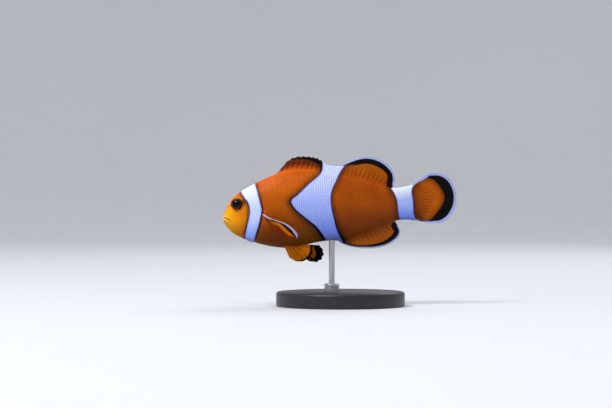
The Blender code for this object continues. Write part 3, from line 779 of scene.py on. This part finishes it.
def scale_form():
    """One scale, a thin plate on a sunk point, and its faces. Its points are (along, across, height,
    closeness to the free rim), in pitches."""
    turn = np.arange(SCALE_CORNERS) * 2 * math.pi / SCALE_CORNERS
    middle = np.array([(SCALE_MIDDLE, 0.0)])
    rim = np.stack([SCALE_MIDDLE + SCALE_HALF_LENGTH * np.cos(turn), SCALE_HALF_WIDTH * np.sin(turn)], axis=1)
    inner = middle + 0.62 * (rim - middle)
    points = []
    rows = ((rim, 0.016, 1.0), (inner, 0.0, 0.5), (middle, -0.006, 0.0), (middle, 0.16, 0.5))
    for row, less, closeness in rows:
        rise = (row[:, 0] - SCALE_MIDDLE + SCALE_HALF_LENGTH) / (2 * SCALE_HALF_LENGTH)
        points.append(np.column_stack([row, -0.03 + 0.09 * rise - less, np.full(len(row), closeness)]))
    points = np.concatenate(points)
    points[:, 3] *= smooth_step(-0.1, 0.75, points[:, 0])
    n = SCALE_CORNERS
    faces = []
    for k in range(n):
        after = (k + 1) % n
        faces += [(k, after, n + after, n + k), (n + k, n + after, 2 * n), (after, k, 2 * n + 1)]
    return points, faces


def scale_roots(net):
    """Where scales stand on the net, as station, point and pitch: rows from gill to tail, each half a scale
    off the last, counted up and down from the side line."""
    along, across = net_lengths(net)
    roots = []
    place, row = SCALE_ROWS_FROM, 0
    while place < along[-1] - SCALE_ROWS_STOP:
        station = float(np.interp(place, along, np.arange(len(along))))
        reach = across[int(station)]
        pitch = float(through(*SCALE_PITCHES, net["s"][int(station), SIDE_LINE]))
        low, high = reach[FLANK.start] + 0.3, reach[FLANK.stop - 1] - 0.3
        count = int(max(high, -low) / (pitch * SCALE_STEP)) + 1
        for k in range(-count, count + 1):
            height = (k + 0.5 * (row % 2)) * pitch * SCALE_STEP
            if low < height < high:
                roots.append((station, float(np.interp(height, reach, np.arange(len(reach)))), pitch))
        place += pitch * ROW_STEP
        row += 1
    return np.array(roots)


def sampled(values, station, point):
    """Values of a net between its points."""
    i = np.clip(station.astype(int), 0, values.shape[0] - 2)
    j = np.clip(point.astype(int), 0, values.shape[1] - 2)
    a, b = station - i, point - j
    if values.ndim == 3:
        a, b = a[..., None], b[..., None]
    near = values[i, j] * (1 - b) + values[i, j + 1] * b
    far = values[i + 1, j] * (1 - b) + values[i + 1, j + 1] * b
    return near * (1 - a) + far * a


def at_length(across, station, length):
    """The place on each station's line of points at a length up or down from the side line."""
    place = np.empty_like(length)
    rows = np.clip(np.rint(station).astype(int), 0, len(across) - 1)
    for row in np.unique(rows):
        here = rows == row
        place[here] = np.interp(length[here], across[row], np.arange(across.shape[1]))
    return place


def standing(points, roots, rng):
    """The roots whose scales stand, with how fully grown each is and how much its length is evened out."""
    station, point, pitch = roots.T
    s, _, z = sampled(points, station, point).T
    on_tail = smooth_step(*TAIL_SCALES, s)
    off_face = smooth_step(*FACE_SCALES, s + 0.25 * np.maximum(z, 0) + 0.5 * np.maximum(z - 6, 0))
    grown = off_face * (1 - 0.8 * on_tail)
    dropped = rng.uniform(0, 1, len(s)) > 1.5 - on_tail
    behind_gill = -ahead_of(s, z, GILL_EDGE)
    dropped |= between(behind_gill, GILL_GROOVE) & between(z, GILL_GROOVE_HEIGHTS)
    step = np.linalg.norm(np.gradient(points, axis=0), axis=-1)
    stretch = sampled(step, station, point) / sampled(step, station, np.full_like(point, SIDE_LINE))
    dropped |= (stretch > NO_SCALES_FROM) | (grown < 0.10 + 0.08 * rng.uniform(0, 1, len(s)))
    dropped |= np.hypot(s - EYE[0], z - EYE[1]) < np.where(z > 6.0, BARE_ABOVE_EYE, BARE_ROUND_EYE)
    dropped |= line_distance(s, z, curved(GAPE))[0] < BARE_ROUND_LIPS
    evened = np.clip(stretch, 1.0, LENGTHENED_TO) / stretch
    return [values[~dropped] for values in (station, point, pitch, grown, evened)]


def scale_coat(name, net, lengths, side, roots, rng):
    """The scales of one side as one mesh of closed plates, laid out by lengths on the plain skin."""
    points = side_points(net, side)
    normal = side * outward(points)
    along, across = lengths
    station, point, pitch, grown, evened = standing(points, roots, rng)
    height = sampled(across, station, point)
    ends = [sampled(across, station, np.full_like(point, end)) for end in (FLANK.start, FLANK.stop - 1)]
    # Scales shrink, narrow and lie closer to the skin where fins leave them no room.
    room = np.minimum(ends[1] - height, height - ends[0])
    grown = grown * (1 - 0.7 * smooth_step(ROOM_FOR_SCALES, 0.3, room))
    form, plate = scale_form()
    size = pitch * rng.uniform(0.94, 1.05, len(pitch)) * (0.7 + 0.3 * grown)
    lean = rng.uniform(-0.05, 0.05, len(pitch))
    forward = (size * evened)[:, None] * (form[:, 0] + lean[:, None] * form[:, 1])
    width = size * np.clip((room - OFF_THE_FEET) / (SCALE_HALF_WIDTH * size), 0.4, 1.0)
    upward = width[:, None] * form[:, 1]
    rows = np.arange(len(along))
    i = np.interp(np.interp(station, rows, along)[:, None] + forward, along, rows)
    i = np.clip(i, 0, points.shape[0] - 1.001)
    j = np.clip(at_length(across, i, height[:, None] + upward), 0.2, points.shape[1] - 1.2)
    lift = size[:, None] * (form[:, 2] * (0.4 + 0.6 * grown[:, None]) - 0.008 * (1 - grown[:, None]))
    where = (sampled(points, i, j) + sampled(normal, i, j) * lift[..., None]).reshape(-1, 3)

    faces = [tuple(v + k * len(form) for v in face) for k in range(len(pitch)) for face in plate]
    if side > 0:
        faces = [face[::-1] for face in faces]
    paint = {key: sampled(net[key], i, j).reshape(-1) for key in PAINT}
    paint["at"] = where
    paint["rim_of_scale"] = (form[:, 3] * (0.2 + 0.8 * grown[:, None])).reshape(-1)
    paint["own_tone"] = np.repeat(rng.uniform(0, 1, len(pitch)), len(form))
    patch = (form[:, :2] - (SCALE_MIDDLE, 0.0)) * SCALE_ON_MAP
    uv = (sampled(bake_place(net, side), station, point)[:, None] + patch).reshape(-1, 2)
    corners = np.array([v for face in faces for v in face])
    return mesh_from(name, placed(where), faces, paint, uv[corners])


# ---- turned pieces and eyes


def turned(profile, around):
    """Points and faces of a closed piece turned about its own Z from (radius, height) pairs."""
    turn = np.arange(around) * 2 * math.pi / around
    ring = np.stack([np.cos(turn), np.sin(turn), np.zeros(around)], axis=1)
    points = np.concatenate([radius * ring + (0.0, 0.0, height) for radius, height in profile])
    faces = []
    for start in range(0, (len(profile) - 1) * around, around):
        for k in range(around):
            after = (k + 1) % around
            faces.append((start + k, start + after, start + around + after, start + around + k))
    last = (len(profile) - 1) * around
    return points, [*faces, tuple(range(around))[::-1], tuple(range(last, last + around))]


def take_place(obj, slot, nodes, *finishes):
    """Gives a piece its finishes and sets it on the model's one body, in the place of these nodes."""
    for finish in finishes:
        obj.data.materials.append(finish)
    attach(obj, "root")
    if nodes:
        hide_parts(*nodes)


def eye(side, word, finish):
    """A glossy eye with a domed lens in its pupil, turned a little forward and up."""
    near_ring = np.linspace(PUPIL - 0.02, PUPIL + 0.08, 6)
    outer = np.linspace(PUPIL + 0.12, 1, 8)
    shares = np.concatenate([[0.002], np.linspace(0.06, PUPIL - 0.04, 9), near_ring, outer])
    dome = EYE_DOME * np.sqrt(np.clip(1 - (0.92 * shares) ** 2, 0, 1))
    lens = LENS_RISE * np.sqrt(np.clip(1 - (shares / PUPIL) ** 2, 0, 1))
    groove = -0.05 * bell(shares - PUPIL - 0.02, 0.03)
    front = np.column_stack([EYE_RADIUS * shares, dome + lens + groove])
    back = [(EYE_RADIUS * share, height) for share, height in EYE_BACK] + [EYE_BACK_CLOSES]
    points, faces = turned(np.concatenate([front, back])[::-1], EYE_CORNERS)
    from_pupil = np.repeat(np.concatenate([shares, (1.02, 1.04, 1.06, 1.08)])[::-1], EYE_CORNERS)
    obj = mesh_from(f"eyeball_{word}", points * UNIT, faces, {"from_pupil": from_pupil, "at": points})
    low, high = (Vector(corner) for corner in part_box(f"eye_{word}"))
    obj.location = (low + high) / 2
    look = Vector((-math.sin(EYE_TURN), side * math.cos(EYE_TURN), math.sin(EYE_TILT)))
    obj.rotation_mode = "QUATERNION"
    obj.rotation_quaternion = look.to_track_quat("Z", "Y")
    take_place(obj, "eye", (f"eye_{word}",), finish)


# ---- colours and material nodes


def hue(red, green, blue):
    """A colour given as it is seen on a screen, 0 to 255, as light."""
    shares = (np.array((red, green, blue)) / 255) ** 2.2
    return (*shares.tolist(), 1.0)


BLACK = hue(12, 10, 15)
SNOUT_YELLOW = hue(254, 185, 6)
FACE_ORANGE = hue(248, 146, 0)
FLANK_ORANGE = hue(204, 99, 0)
# Painted highlight on the fish's back.
BACK_HIGHLIGHT_ORANGE = hue(248, 110, 34)
REAR_ORANGE = hue(174, 80, 0)
# Painted shade towards the belly, brown and, further back, olive.
BELLY_SHADE_BROWN = hue(90, 44, 0)
BELLY_SHADE_OLIVE = hue(96, 58, 0)
# Painted shade beside the white bars.
BAR_SHADE_BROWN = hue(58, 20, 4)
# Painted shade behind the eye.
EYE_SHADE_BROWN = hue(64, 26, 2)
TAIL_BROWN = hue(80, 28, 0)
# Painted shade in creases: mouth, cheek, gill, nostril, round the eye and at the paired fins' feet.
CREASE_SHADE_BROWN = hue(52, 16, 6)
SPINY_FIN = hue(90, 36, 0)
FIN_BROWN = hue(180, 95, 0)
FIN_ORANGE = hue(202, 104, 0)
# Painted highlight along the paired fins' leading rays.
FIN_HIGHLIGHT_YELLOW = hue(244, 136, 4)
# The pelvic fins' yellow-brown, darkened with painted shade from the belly.
PELVIC_SHADED_ORANGE = hue(160, 92, 0)
# Painted shade on the paired fins' faces.
PAIRED_FIN_SHADE = hue(136, 50, 0)
LIP = hue(255, 206, 150)
MOTTLE = (0.65, 0.42, 0.5, 1.0)
BETWEEN_RAYS = (0.3, 0.22, 0.2, 1.0)
# White above, at the side and below, for each bar: painted light above, painted shade below, all with a
# painted blue cast of light.
HEAD_WHITES_LIT_TO_SHADED = (hue(240, 244, 255), hue(206, 217, 255), hue(150, 174, 255))
MIDDLE_WHITES_LIT_TO_SHADED = (hue(200, 210, 255), hue(168, 184, 255), hue(126, 150, 250))
TAIL_WHITES_LIT_TO_SHADED = (hue(234, 239, 255), hue(176, 192, 255), hue(124, 146, 244))
# Painted shade on the bars' lowest parts.
BELLY_BLUE_SHADE = hue(84, 92, 150)
EDGE_BLUE = hue(96, 104, 232)
CLEAR_BLUE = hue(160, 178, 238)
PECTORAL_EDGE = hue(214, 206, 250)
PUPIL_BLACK = hue(4, 4, 16)
IRIS_DARK = hue(22, 12, 16)
IRIS_ORANGE = hue(112, 50, 6)
IRIS_STREAK = hue(40, 16, 10)
IRIS_EDGE = hue(30, 14, 12)
IRIS_RING = hue(190, 110, 36)


class Nodes:
    """Short ways to lay out the nodes of one tree."""

    def __init__(self, tree):
        self.tree = tree

    def add(self, kind, inputs=(), **settings):
        """A node with these settings. inputs maps a socket's name or number to a value or another socket."""
        node = self.tree.nodes.new(kind)
        for key, value in settings.items():
            setattr(node, key, value)
        for key, value in dict(inputs).items():
            self.feed(node.inputs[key], value)
        return node

    def feed(self, socket, value):
        if isinstance(value, bpy.types.NodeSocket):
            self.tree.links.new(value, socket)
        else:
            socket.default_value = value

    def at(self):
        """Where a point lies on the straight fish, or on an eye, in millimetres."""
        return self.add("ShaderNodeAttribute", attribute_name="at").outputs["Vector"]

    def value(self, name):
        """One of the painting distances."""
        return self.add("ShaderNodeAttribute", attribute_name=name).outputs["Fac"]

    def math(self, operation, a, b):
        return self.add("ShaderNodeMath", {0: a, 1: b}, operation=operation).outputs[0]

    def plus(self, a, b):
        return self.math("ADD", a, b)

    def minus(self, a, b):
        return self.math("SUBTRACT", a, b)

    def times(self, a, b):
        return self.math("MULTIPLY", a, b)

    def lesser(self, a, b):
        return self.math("MINIMUM", a, b)

    def ramp(self, x, low, high, to_low=0.0, to_high=1.0, smooth=True):
        """x between low and high, as a number between to_low and to_high."""
        kind = "SMOOTHSTEP" if smooth else "LINEAR"
        inputs = {"Value": x, "From Min": low, "From Max": high, "To Min": to_low, "To Max": to_high}
        return self.add("ShaderNodeMapRange", inputs, interpolation_type=kind).outputs["Result"]

    def blend(self, share, a, b, way="MIX"):
        """Colour a going over to b."""
        inputs = {"Factor": share, "A": a, "B": b}
        return self.add("ShaderNodeMix", inputs, data_type="RGBA", blend_type=way).outputs["Result"]

    def coats(self, colour, *coats):
        """A colour with further ones laid over it, each given as (how much of it covers, colour)."""
        for share, over in coats:
            colour = self.blend(share, colour, over)
        return colour

    def noise(self, at, scale, detail=2.0, roughness=0.5):
        inputs = {"Vector": at, "Scale": scale, "Detail": detail, "Roughness": roughness}
        return self.add("ShaderNodeTexNoise", inputs).outputs["Fac"]

    def group(self, group, inputs=()):
        return self.add("ShaderNodeGroup", inputs, node_tree=group).outputs


def new_group(name, inputs, outputs):
    """An empty node group with these sockets, each (name, kind, value at rest)."""
    tree = bpy.data.node_groups.new(name, "ShaderNodeTree")
    for socket, kind, value in inputs:
        made = tree.interface.new_socket(socket, in_out="INPUT", socket_type=f"NodeSocket{kind}")
        made.default_value = value
    for socket, kind in outputs:
        tree.interface.new_socket(socket, in_out="OUTPUT", socket_type=f"NodeSocket{kind}")
    nodes = Nodes(tree)
    return tree, nodes, nodes.add("NodeGroupInput").outputs, nodes.add("NodeGroupOutput").inputs


def body_colour(n, along_fish, up):
    """Orange from the yellow snout to the tail, a painted highlight on the back, painted shade below and
    behind the eye.
    """
    # Painted highlight: the back is lighter, as if lit from above, fading out towards the tail.
    back = n.times(n.ramp(up, 0.72, 1.0), n.ramp(along_fish, 40.0, 10.0))
    # Painted shade: the flank darkens towards the belly, less at the chin and towards the tail, more olive
    # mid-belly.
    shade_starts = n.lesser(n.ramp(along_fish, 13.0, 18.0, 0.62, 0.7), n.ramp(along_fish, 32.0, 40.0, 0.7, 0.62))
    low = n.times(n.ramp(up, shade_starts, 0.08), n.ramp(along_fish, 1.0, 12.0, 0.48, 0.88))
    low = n.times(low, n.ramp(along_fish, 34.0, 44.0, 1.0, 0.7))
    olive = n.times(n.ramp(along_fish, 19.0, 25.0), n.ramp(along_fish, 38.0, 34.0))
    return n.coats(
        SNOUT_YELLOW,
        (n.ramp(along_fish, 0.4, 6.4), FACE_ORANGE),
        (n.ramp(along_fish, 4.5, 14.0), FLANK_ORANGE),
        (n.ramp(along_fish, 34.0, 44.0), REAR_ORANGE),
        (n.times(back, 0.75), BACK_HIGHLIGHT_ORANGE),
        (n.times(n.value("smudge"), 0.95), EYE_SHADE_BROWN),
        (low, n.blend(olive, BELLY_SHADE_BROWN, BELLY_SHADE_OLIVE)),
    )


def fin_colour(n, orange, along_fish, up, black):
    """The body's orange going over into the fins' and darker between their rays, with painted shade and
    highlight on the paired fins.
    """
    along_fin, paired = n.value("along"), n.value("paired")
    fin = n.blend(n.ramp(along_fish, 34.0, 37.0), SPINY_FIN, FIN_BROWN)
    fin = n.blend(n.ramp(along_fish, 59.0, 66.0), fin, FIN_ORANGE)
    # Painted highlight: a lit streak just inside the paired fins' black band, towards their leading rays,
    # over painted shade on their faces; the pelvic fins are darkened with painted shade.
    front = n.times(n.ramp(up, 0.15, 0.4), n.lesser(paired, 1.0))
    lit = n.times(n.ramp(black, -3.6, -1.6), n.ramp(along_fin, 0.24, 0.36))
    orange = n.coats(
        orange,
        (n.ramp(along_fin, 0.02, 0.6, 0.0, 0.9), fin),
        (n.times(n.ramp(paired, 0.6, 0.9), 0.8), PAIRED_FIN_SHADE),
        (n.times(front, lit), FIN_HIGHLIGHT_YELLOW),
        (n.ramp(paired, 1.1, 1.25, 0.0, 0.85), PELVIC_SHADED_ORANGE),
    )
    orange = n.blend(n.ramp(n.noise(n.at(), 0.16), 0.3, 0.7, 0.0, 0.35), orange, MOTTLE, "MULTIPLY")
    between = n.times(n.minus(1.0, n.value("ray")), n.ramp(along_fin, 0.02, 0.3, 0.0, 0.5))
    return n.blend(between, orange, BETWEEN_RAYS, "MULTIPLY")


def bar_colour(n, along_fish, up, bar):
    """White with painted light and shade, whitest above, darker and bluer below, and bluer along the bars'
    edges.
    """
    behind_head, on_tail = n.ramp(along_fish, 16.0, 20.0), n.ramp(along_fish, 50.0, 56.0)
    tones = zip(HEAD_WHITES_LIT_TO_SHADED, MIDDLE_WHITES_LIT_TO_SHADED, TAIL_WHITES_LIT_TO_SHADED)
    top, side, low = (n.blend(on_tail, n.blend(behind_head, a, b), c) for a, b, c in tones)
    return n.coats(
        top,
        (n.ramp(up, 0.9, 0.55), side),
        (n.ramp(up, 0.55, 0.1), low),
        (n.ramp(up, 0.14, 0.0, 0.0, 0.7), BELLY_BLUE_SHADE),
        (n.ramp(bar, 0.55, 0.02, 0.0, 0.6), EDGE_BLUE),
    )


def markings_group():
    """Orange body, white bars edged in black, black fin bands and clear margins, with painted highlights and
    painted shade.
    """
    inputs = (("Plate Shade", "Float", 0.0), ("Plate Tone", "Float", 0.5))
    tree, n, given, out = new_group("Clownfish Markings", inputs, (("Color", "Color"), ("Clear", "Float")))
    along_fish = n.add("ShaderNodeSeparateXYZ", {0: n.at()}).outputs["X"]
    up, black = n.value("up"), n.value("black")
    waver = n.times(n.minus(n.noise(n.at(), 1.1, 3.0, 0.6), 0.5), 0.22)
    bar = n.plus(n.value("bar"), n.times(waver, 0.5))
    with_line = n.plus(bar, n.value("line"))

    # Painted shade in a band outside the bars' black lines, wider from the shoulder back.
    shade_halo = n.ramp(with_line, n.ramp(along_fish, 9.0, 22.0, -1.7, -3.6), 0.1, 0.0, 0.84)
    is_white = n.ramp(bar, -0.05, 0.06)
    clear = n.ramp(n.plus(n.value("rim"), n.times(waver, 0.6)), -0.12, 0.14)
    color = n.coats(
        fin_colour(n, body_colour(n, along_fish, up), along_fish, up, black),
        (n.times(shade_halo, shade_halo), BAR_SHADE_BROWN),
        (n.times(n.ramp(black, -2.0, -0.1), n.ramp(along_fish, 66.0, 69.0, 0.0, 0.6)), TAIL_BROWN),
        (n.times(n.value("lip"), n.ramp(along_fish, 1.9, 0.2, 0.1, 0.55)), LIP),
        (n.ramp(with_line, -0.12, 0.06), BLACK),
        (is_white, bar_colour(n, along_fish, up, bar)),
        (n.ramp(n.plus(black, waver), -0.16, 0.16), BLACK),
        (clear, n.blend(n.lesser(n.value("paired"), 1.0), CLEAR_BLUE, PECTORAL_EDGE)),
    )

    tone = n.ramp(given["Plate Tone"], 0.0, 1.0, -0.05, 0.05, smooth=False)
    rim_shade = n.times(given["Plate Shade"], n.ramp(is_white, 0.0, 1.0, 0.14, 0.06))
    dim = n.minus(n.plus(1.0, tone), rim_shade)
    color = n.add("ShaderNodeHueSaturation", {"Color": color, "Value": dim}).outputs["Color"]
    # Painted shade in creases and round the eye, from the shade values.
    n.feed(out["Color"], n.blend(n.times(n.value("shade"), 0.85), color, CREASE_SHADE_BROWN))
    n.feed(out["Clear"], clear)
    return tree


def grain_group():
    """Fine unevenness for bump and gloss."""
    inputs = [("At", "Vector", (0, 0, 0)), ("Fineness", "Float", 3.0)]
    inputs += [("Gloss Low", "Float", 0.3), ("Gloss High", "Float", 0.5)]
    tree, n, given, out = new_group("Fine Grain", inputs, (("Height", "Float"), ("Roughness", "Float")))
    fine = n.noise(given["At"], given["Fineness"], 3.0, 0.6)
    broad = n.noise(given["At"], n.times(given["Fineness"], 0.12))
    mixed = n.plus(n.times(fine, 0.4), n.times(broad, 0.6))
    n.feed(out["Height"], fine)
    n.feed(out["Roughness"], n.ramp(mixed, 0.3, 0.7, given["Gloss Low"], given["Gloss High"], smooth=False))
    return tree


# ---- materials


def new_material(name, **settings):
    """A material, its nodes and its shader's sockets. settings are plain values for those sockets."""
    material = bpy.data.materials.new(name)
    material.use_nodes = True
    shader = material.node_tree.nodes["Principled BSDF"].inputs
    for key, value in settings.items():
        shader[key.replace("_", " ")].default_value = value
    return material, Nodes(material.node_tree), shader


def grained(n, shader, groups, at, fineness, gloss):
    """Fine unevenness in a shader's gloss, given back for its bump and colour."""
    inputs = {"At": at, "Fineness": fineness, "Gloss Low": gloss[0], "Gloss High": gloss[1]}
    grain = n.group(groups["grain"], inputs)
    n.feed(shader["Roughness"], grain["Roughness"])
    return grain["Height"]


def bumped(n, shader, height, strength, depth):
    """A shader's bump, with its depth in millimetres."""
    bump = n.add("ShaderNodeBump", {"Height": height, "Strength": strength, "Distance": depth * UNIT})
    n.feed(shader["Normal"], bump.outputs["Normal"])


def fish_material(name, groups, plates=False, see_through=False, wet=0.08):
    """Satin skin, more or less wet. plates shades each scale, and see_through clears the fins' margins.
    Light goes a short way into it, red the furthest."""
    material, n, shader = new_material(
        name, Specular_IOR_Level=wet, Coat_Weight=wet / 2, Coat_Roughness=0.22,
        Subsurface_Weight=0.1, Subsurface_Radius=(1.0, 0.35, 0.15), Subsurface_Scale=0.9 * UNIT,
    )
    tones = {"Plate Shade": n.value("rim_of_scale"), "Plate Tone": n.value("own_tone")} if plates else {}
    colours = n.group(groups["markings"], tones)
    n.feed(shader["Base Color"], colours["Color"])
    bumped(n, shader, grained(n, shader, groups, n.at(), 5.0, (0.4, 0.56)), 0.25, 0.06)
    if see_through:
        n.feed(shader["Alpha"], n.ramp(colours["Clear"], 0.0, 1.0, 1.0, 0.58, smooth=False))
    return material


def eye_material(groups):
    """Blue-black pupil with a faint gold ring, in an iris that is dark above and dull orange below."""
    material, n, shader = new_material(
        "wet_eye", Specular_IOR_Level=0.05, Coat_Weight=0.55, Coat_IOR=1.3, Coat_Roughness=0.02
    )
    out = n.value("from_pupil")
    height = n.add("ShaderNodeSeparateXYZ", {0: n.at()}).outputs["Y"]
    iris = n.coats(
        IRIS_DARK,
        (n.ramp(height, 0.4, -1.4), IRIS_ORANGE),
        (n.ramp(n.noise(n.at(), 2.6, 3.0, 0.7), 0.35, 0.7, 0.0, 0.55), IRIS_STREAK),
        (n.ramp(out, 0.86, 0.98), IRIS_EDGE),
    )
    past_pupil = n.ramp(out, PUPIL - 0.005, PUPIL + 0.015)
    ring = n.times(past_pupil, n.ramp(out, PUPIL + 0.05, PUPIL + 0.03))
    color = n.blend(past_pupil, PUPIL_BLACK, iris)
    n.feed(shader["Base Color"], n.blend(n.times(ring, 0.35), color, IRIS_RING))
    grained(n, shader, groups, n.at(), 2.0, (0.06, 0.12))
    return material


def stand_material(name, groups, colours, lie, fineness, gloss, bump, **settings):
    """A finish of the stand. lie draws its grain out or packs it along X, Y and Z."""
    material, n, shader = new_material(name, **settings)
    at = n.add("ShaderNodeTexCoord").outputs["Object"]
    spread = n.add("ShaderNodeMapping", {"Vector": at, "Scale": [share / UNIT for share in lie]}).outputs[0]
    height = grained(n, shader, groups, spread, fineness, gloss)
    n.feed(shader["Base Color"], n.blend(height, *colours))
    bumped(n, shader, height, *bump)
    return material


def floor_material():
    """Pale, nearly even grey."""
    material, n, shader = new_material("pale_floor")
    at = n.add("ShaderNodeTexCoord").outputs["Object"]
    n.feed(shader["Base Color"], n.blend(n.noise(at, 1.5), hue(214, 216, 220), hue(222, 223, 226)))
    n.feed(shader["Roughness"], n.ramp(n.noise(at, 40.0), 0.3, 0.7, 0.7, 0.85))
    return material


# ---- pieces of the stand


def rounded_corner(radius, height, round_by, steps, upper):
    """Points of a turned profile's rounded corner at (radius, height)."""
    turn = np.linspace(0, math.pi / 2, steps + 1)
    inner = radius - round_by
    if upper:
        return [(inner + round_by * math.cos(t), height - round_by + round_by * math.sin(t)) for t in turn]
    return [(inner + round_by * math.sin(t), height + round_by - round_by * math.cos(t)) for t in turn]


def stand_piece(node, profile, around, slot, finish):
    """A turned piece in the place of a node of the stand."""
    low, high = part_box(node)
    obj = mesh_from(f"{node}_turned", *turned(profile, around), {})
    obj.data.set_sharp_from_angle(angle=math.radians(40))
    obj.location = ((low[0] + high[0]) / 2, (low[1] + high[1]) / 2, low[2])
    take_place(obj, slot, (node,), finish)


def round_size(node):
    """Radius and height of a round node of the frame."""
    low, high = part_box(node)
    return (high[0] - low[0]) / 2, high[2] - low[2]


def make_stand(groups):
    """A black base with a groove near its rim, a steel collar sunk to the base's top, and a steel rod."""
    blacks, steels = (hue(24, 24, 27), hue(44, 44, 48)), (hue(196, 197, 200), hue(160, 161, 166))
    black = stand_material("satin_black", groups, blacks, (1, 1, 1), 6.0, (0.34, 0.48), (0.35, 0.05))
    steel = stand_material(
        "brushed_steel", groups, steels, (1, 1, 0.05), 9.0, (0.24, 0.4), (0.3, 0.02), Metallic=1.0
    )
    radius, height = round_size("stand_base")
    profile = [(ON_AXIS, 0.0), *rounded_corner(radius, 0.0, BASE_ROUNDED[0] * UNIT, 4, False)]
    profile += rounded_corner(radius, height, BASE_ROUNDED[1] * UNIT, 7, True)
    profile += [(radius - inset * UNIT, height - depth * UNIT) for inset, depth in BASE_GROOVE]
    stand_piece("stand_base", [*profile, (ON_AXIS, height)], 160, "stand_base", black)

    radius, height = round_size("stand_collar")
    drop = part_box("stand_collar")[0][2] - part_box("stand_base")[1][2]
    waist = radius - COLLAR_WAIST * UNIT
    profile = [(ON_AXIS, -drop), (radius, -drop), (radius, height * 0.45), (waist, height * 0.5)]
    profile += [(waist, height * 0.58), (radius, height * 0.64)]
    profile += rounded_corner(radius, height, COLLAR_ROUNDED * UNIT, 5, True)
    profile += [(COLLAR_BORE * UNIT, height), (ON_AXIS, height)]
    stand_piece("stand_collar", profile, 72, "stand_metal", steel)

    radius, height = round_size("stand_rod")
    profile = [(ON_AXIS, 0.0), (radius, 0.0), (radius, height), (ON_AXIS, height)]
    stand_piece("stand_rod", profile, 48, "stand_metal", steel)


# ---- floor, lights and camera


def make_stage():
    """A pale floor that curves up into a wall all round, far outside the model."""
    reach, bend = FLOOR_REACH * LENGTH * UNIT, FLOOR_BEND * LENGTH * UNIT
    turn = np.linspace(0, math.pi / 2, 24)
    curve = [(reach + bend * math.sin(t), bend - bend * math.cos(t)) for t in turn]
    profile = [(ON_AXIS, 0.0), (reach * 0.3, 0.0), *curve, (reach + bend, bend * 1.6)]
    points, faces = turned(profile, 96)
    floor = mesh_from("floor", points, faces[:-1], {})
    floor.data.materials.append(floor_material())


def area_light(name, aim, offset, size, power, colour):
    """A round soft light. offset and size are in lengths of the fish."""
    data = bpy.data.lights.new(name, "AREA")
    data.shape = "DISK"
    data.size = size * LENGTH * UNIT
    data.energy = power
    data.color = colour
    light = bpy.data.objects.new(name, data)
    light.location = aim + np.array(offset) * LENGTH * UNIT
    light.rotation_mode = "QUATERNION"
    light.rotation_quaternion = Vector(-np.array(offset)).to_track_quat("-Z", "Y")
    bpy.context.scene.collection.objects.link(light)


def make_lights():
    """A big soft light from above and before the fish's left side, a gentler one behind, and pale air."""
    aim = placed((32.0, 0.0, 0.0))
    area_light("key", aim, (-5.5, -5.5, 9.0), 5, 6.75, (0.96, 0.965, 1.0))
    area_light("back", aim, (4.0, 7.0, 8.0), 6, 2.05, (0.92, 0.95, 1.0))
    world = bpy.data.worlds.new("pale_air")
    world.use_nodes = True
    air = world.node_tree.nodes["Background"].inputs
    air["Color"].default_value = (0.965, 0.975, 1.0, 1.0)
    air["Strength"].default_value = 0.8
    bpy.context.scene.world = world


def make_camera():
    """A level look at the fish's left side from a little above the floor, framed wide."""
    data = bpy.data.cameras.new("camera")
    data.sensor_width = 36.0
    data.lens = data.sensor_width * VIEW_FROM / VIEW_WIDTH
    data.clip_start, data.clip_end = 0.01, 20.0
    camera = bpy.data.objects.new("camera", data)
    camera.location = MOUTH + Vector((VIEW_AIM[0] * UNIT, -VIEW_FROM * UNIT, VIEW_AIM[1] * UNIT))
    camera.rotation_euler = (math.pi / 2, 0, 0)
    bpy.context.scene.collection.objects.link(camera)
    bpy.context.scene.camera = camera


# ---- all together


def mark_margins(mesh):
    """Gives the faces in the fins' clear margins their own material."""
    rim = np.empty(len(mesh.vertices), np.float32)
    mesh.attributes["rim"].data.foreach_get("value", rim)
    for face in mesh.polygons:
        if min(rim[v] for v in face.vertices) > -0.3 and max(rim[v] for v in face.vertices) > -0.15:
            face.material_index = 1


def make_fish(groups):
    """The skin with its midline fins, the paired fins, and a coat of scales on each side."""
    skin_finish = fish_material("fish_skin", groups)
    margin_finish = fish_material("fin_margin", groups, see_through=True)
    fan_finish = fish_material("paired_fins", groups, wet=0.02)
    plain = markings(half_skin())
    net = sculpted(plain)
    skin = whole_skin(net)
    take_place(skin, "skin", SKIN_NODES, skin_finish, margin_finish)
    mark_margins(skin.data)
    pectoral = (PECTORAL_RAYS, PECTORAL_FOOT, PECTORAL_TIPS, PECTORAL_BOW)
    pectoral += (PECTORAL_BAND, PECTORAL_CLEAR, PECTORAL_PLEAT)
    pelvic_tips = {-1: (PELVIC_LEFT_TIPS, PELVIC_LEFT_BAND), 1: (PELVIC_RIGHT_TIPS, PELVIC_RIGHT_BAND)}
    for side, word in SIDES:
        tips, band = pelvic_tips[side]
        pelvic = (PELVIC_RAYS, PELVIC_FOOT, tips, PELVIC_BOW, band, PELVIC_CLEAR, PELVIC_PLEAT)
        for node, form in (("pectoral_fin", pectoral), ("pelvic_fin", pelvic)):
            fin = paired_fin(f"{node}_{word}_skin", side, *form)
            take_place(fin, "fin", (f"{node}_{word}",), fan_finish, margin_finish)
            mark_margins(fin.data)
    plate_finish = fish_material("scales", groups, plates=True)
    rng = np.random.default_rng(SCALE_SEED)
    roots, lengths = scale_roots(plain), net_lengths(plain)
    for side, word in SIDES:
        coat = scale_coat(f"scales_{word}", net, lengths, side, roots, rng)
        take_place(coat, "skin", (), plate_finish)


def main():
    groups = {"markings": markings_group(), "grain": grain_group()}
    make_camera()
    make_fish(groups)
    finish = eye_material(groups)
    for side, word in SIDES:
        eye(side, word, finish)
    make_stand(groups)
    make_stage()
    make_lights()
    bpy.context.scene.view_settings.view_transform = "Standard"


main()
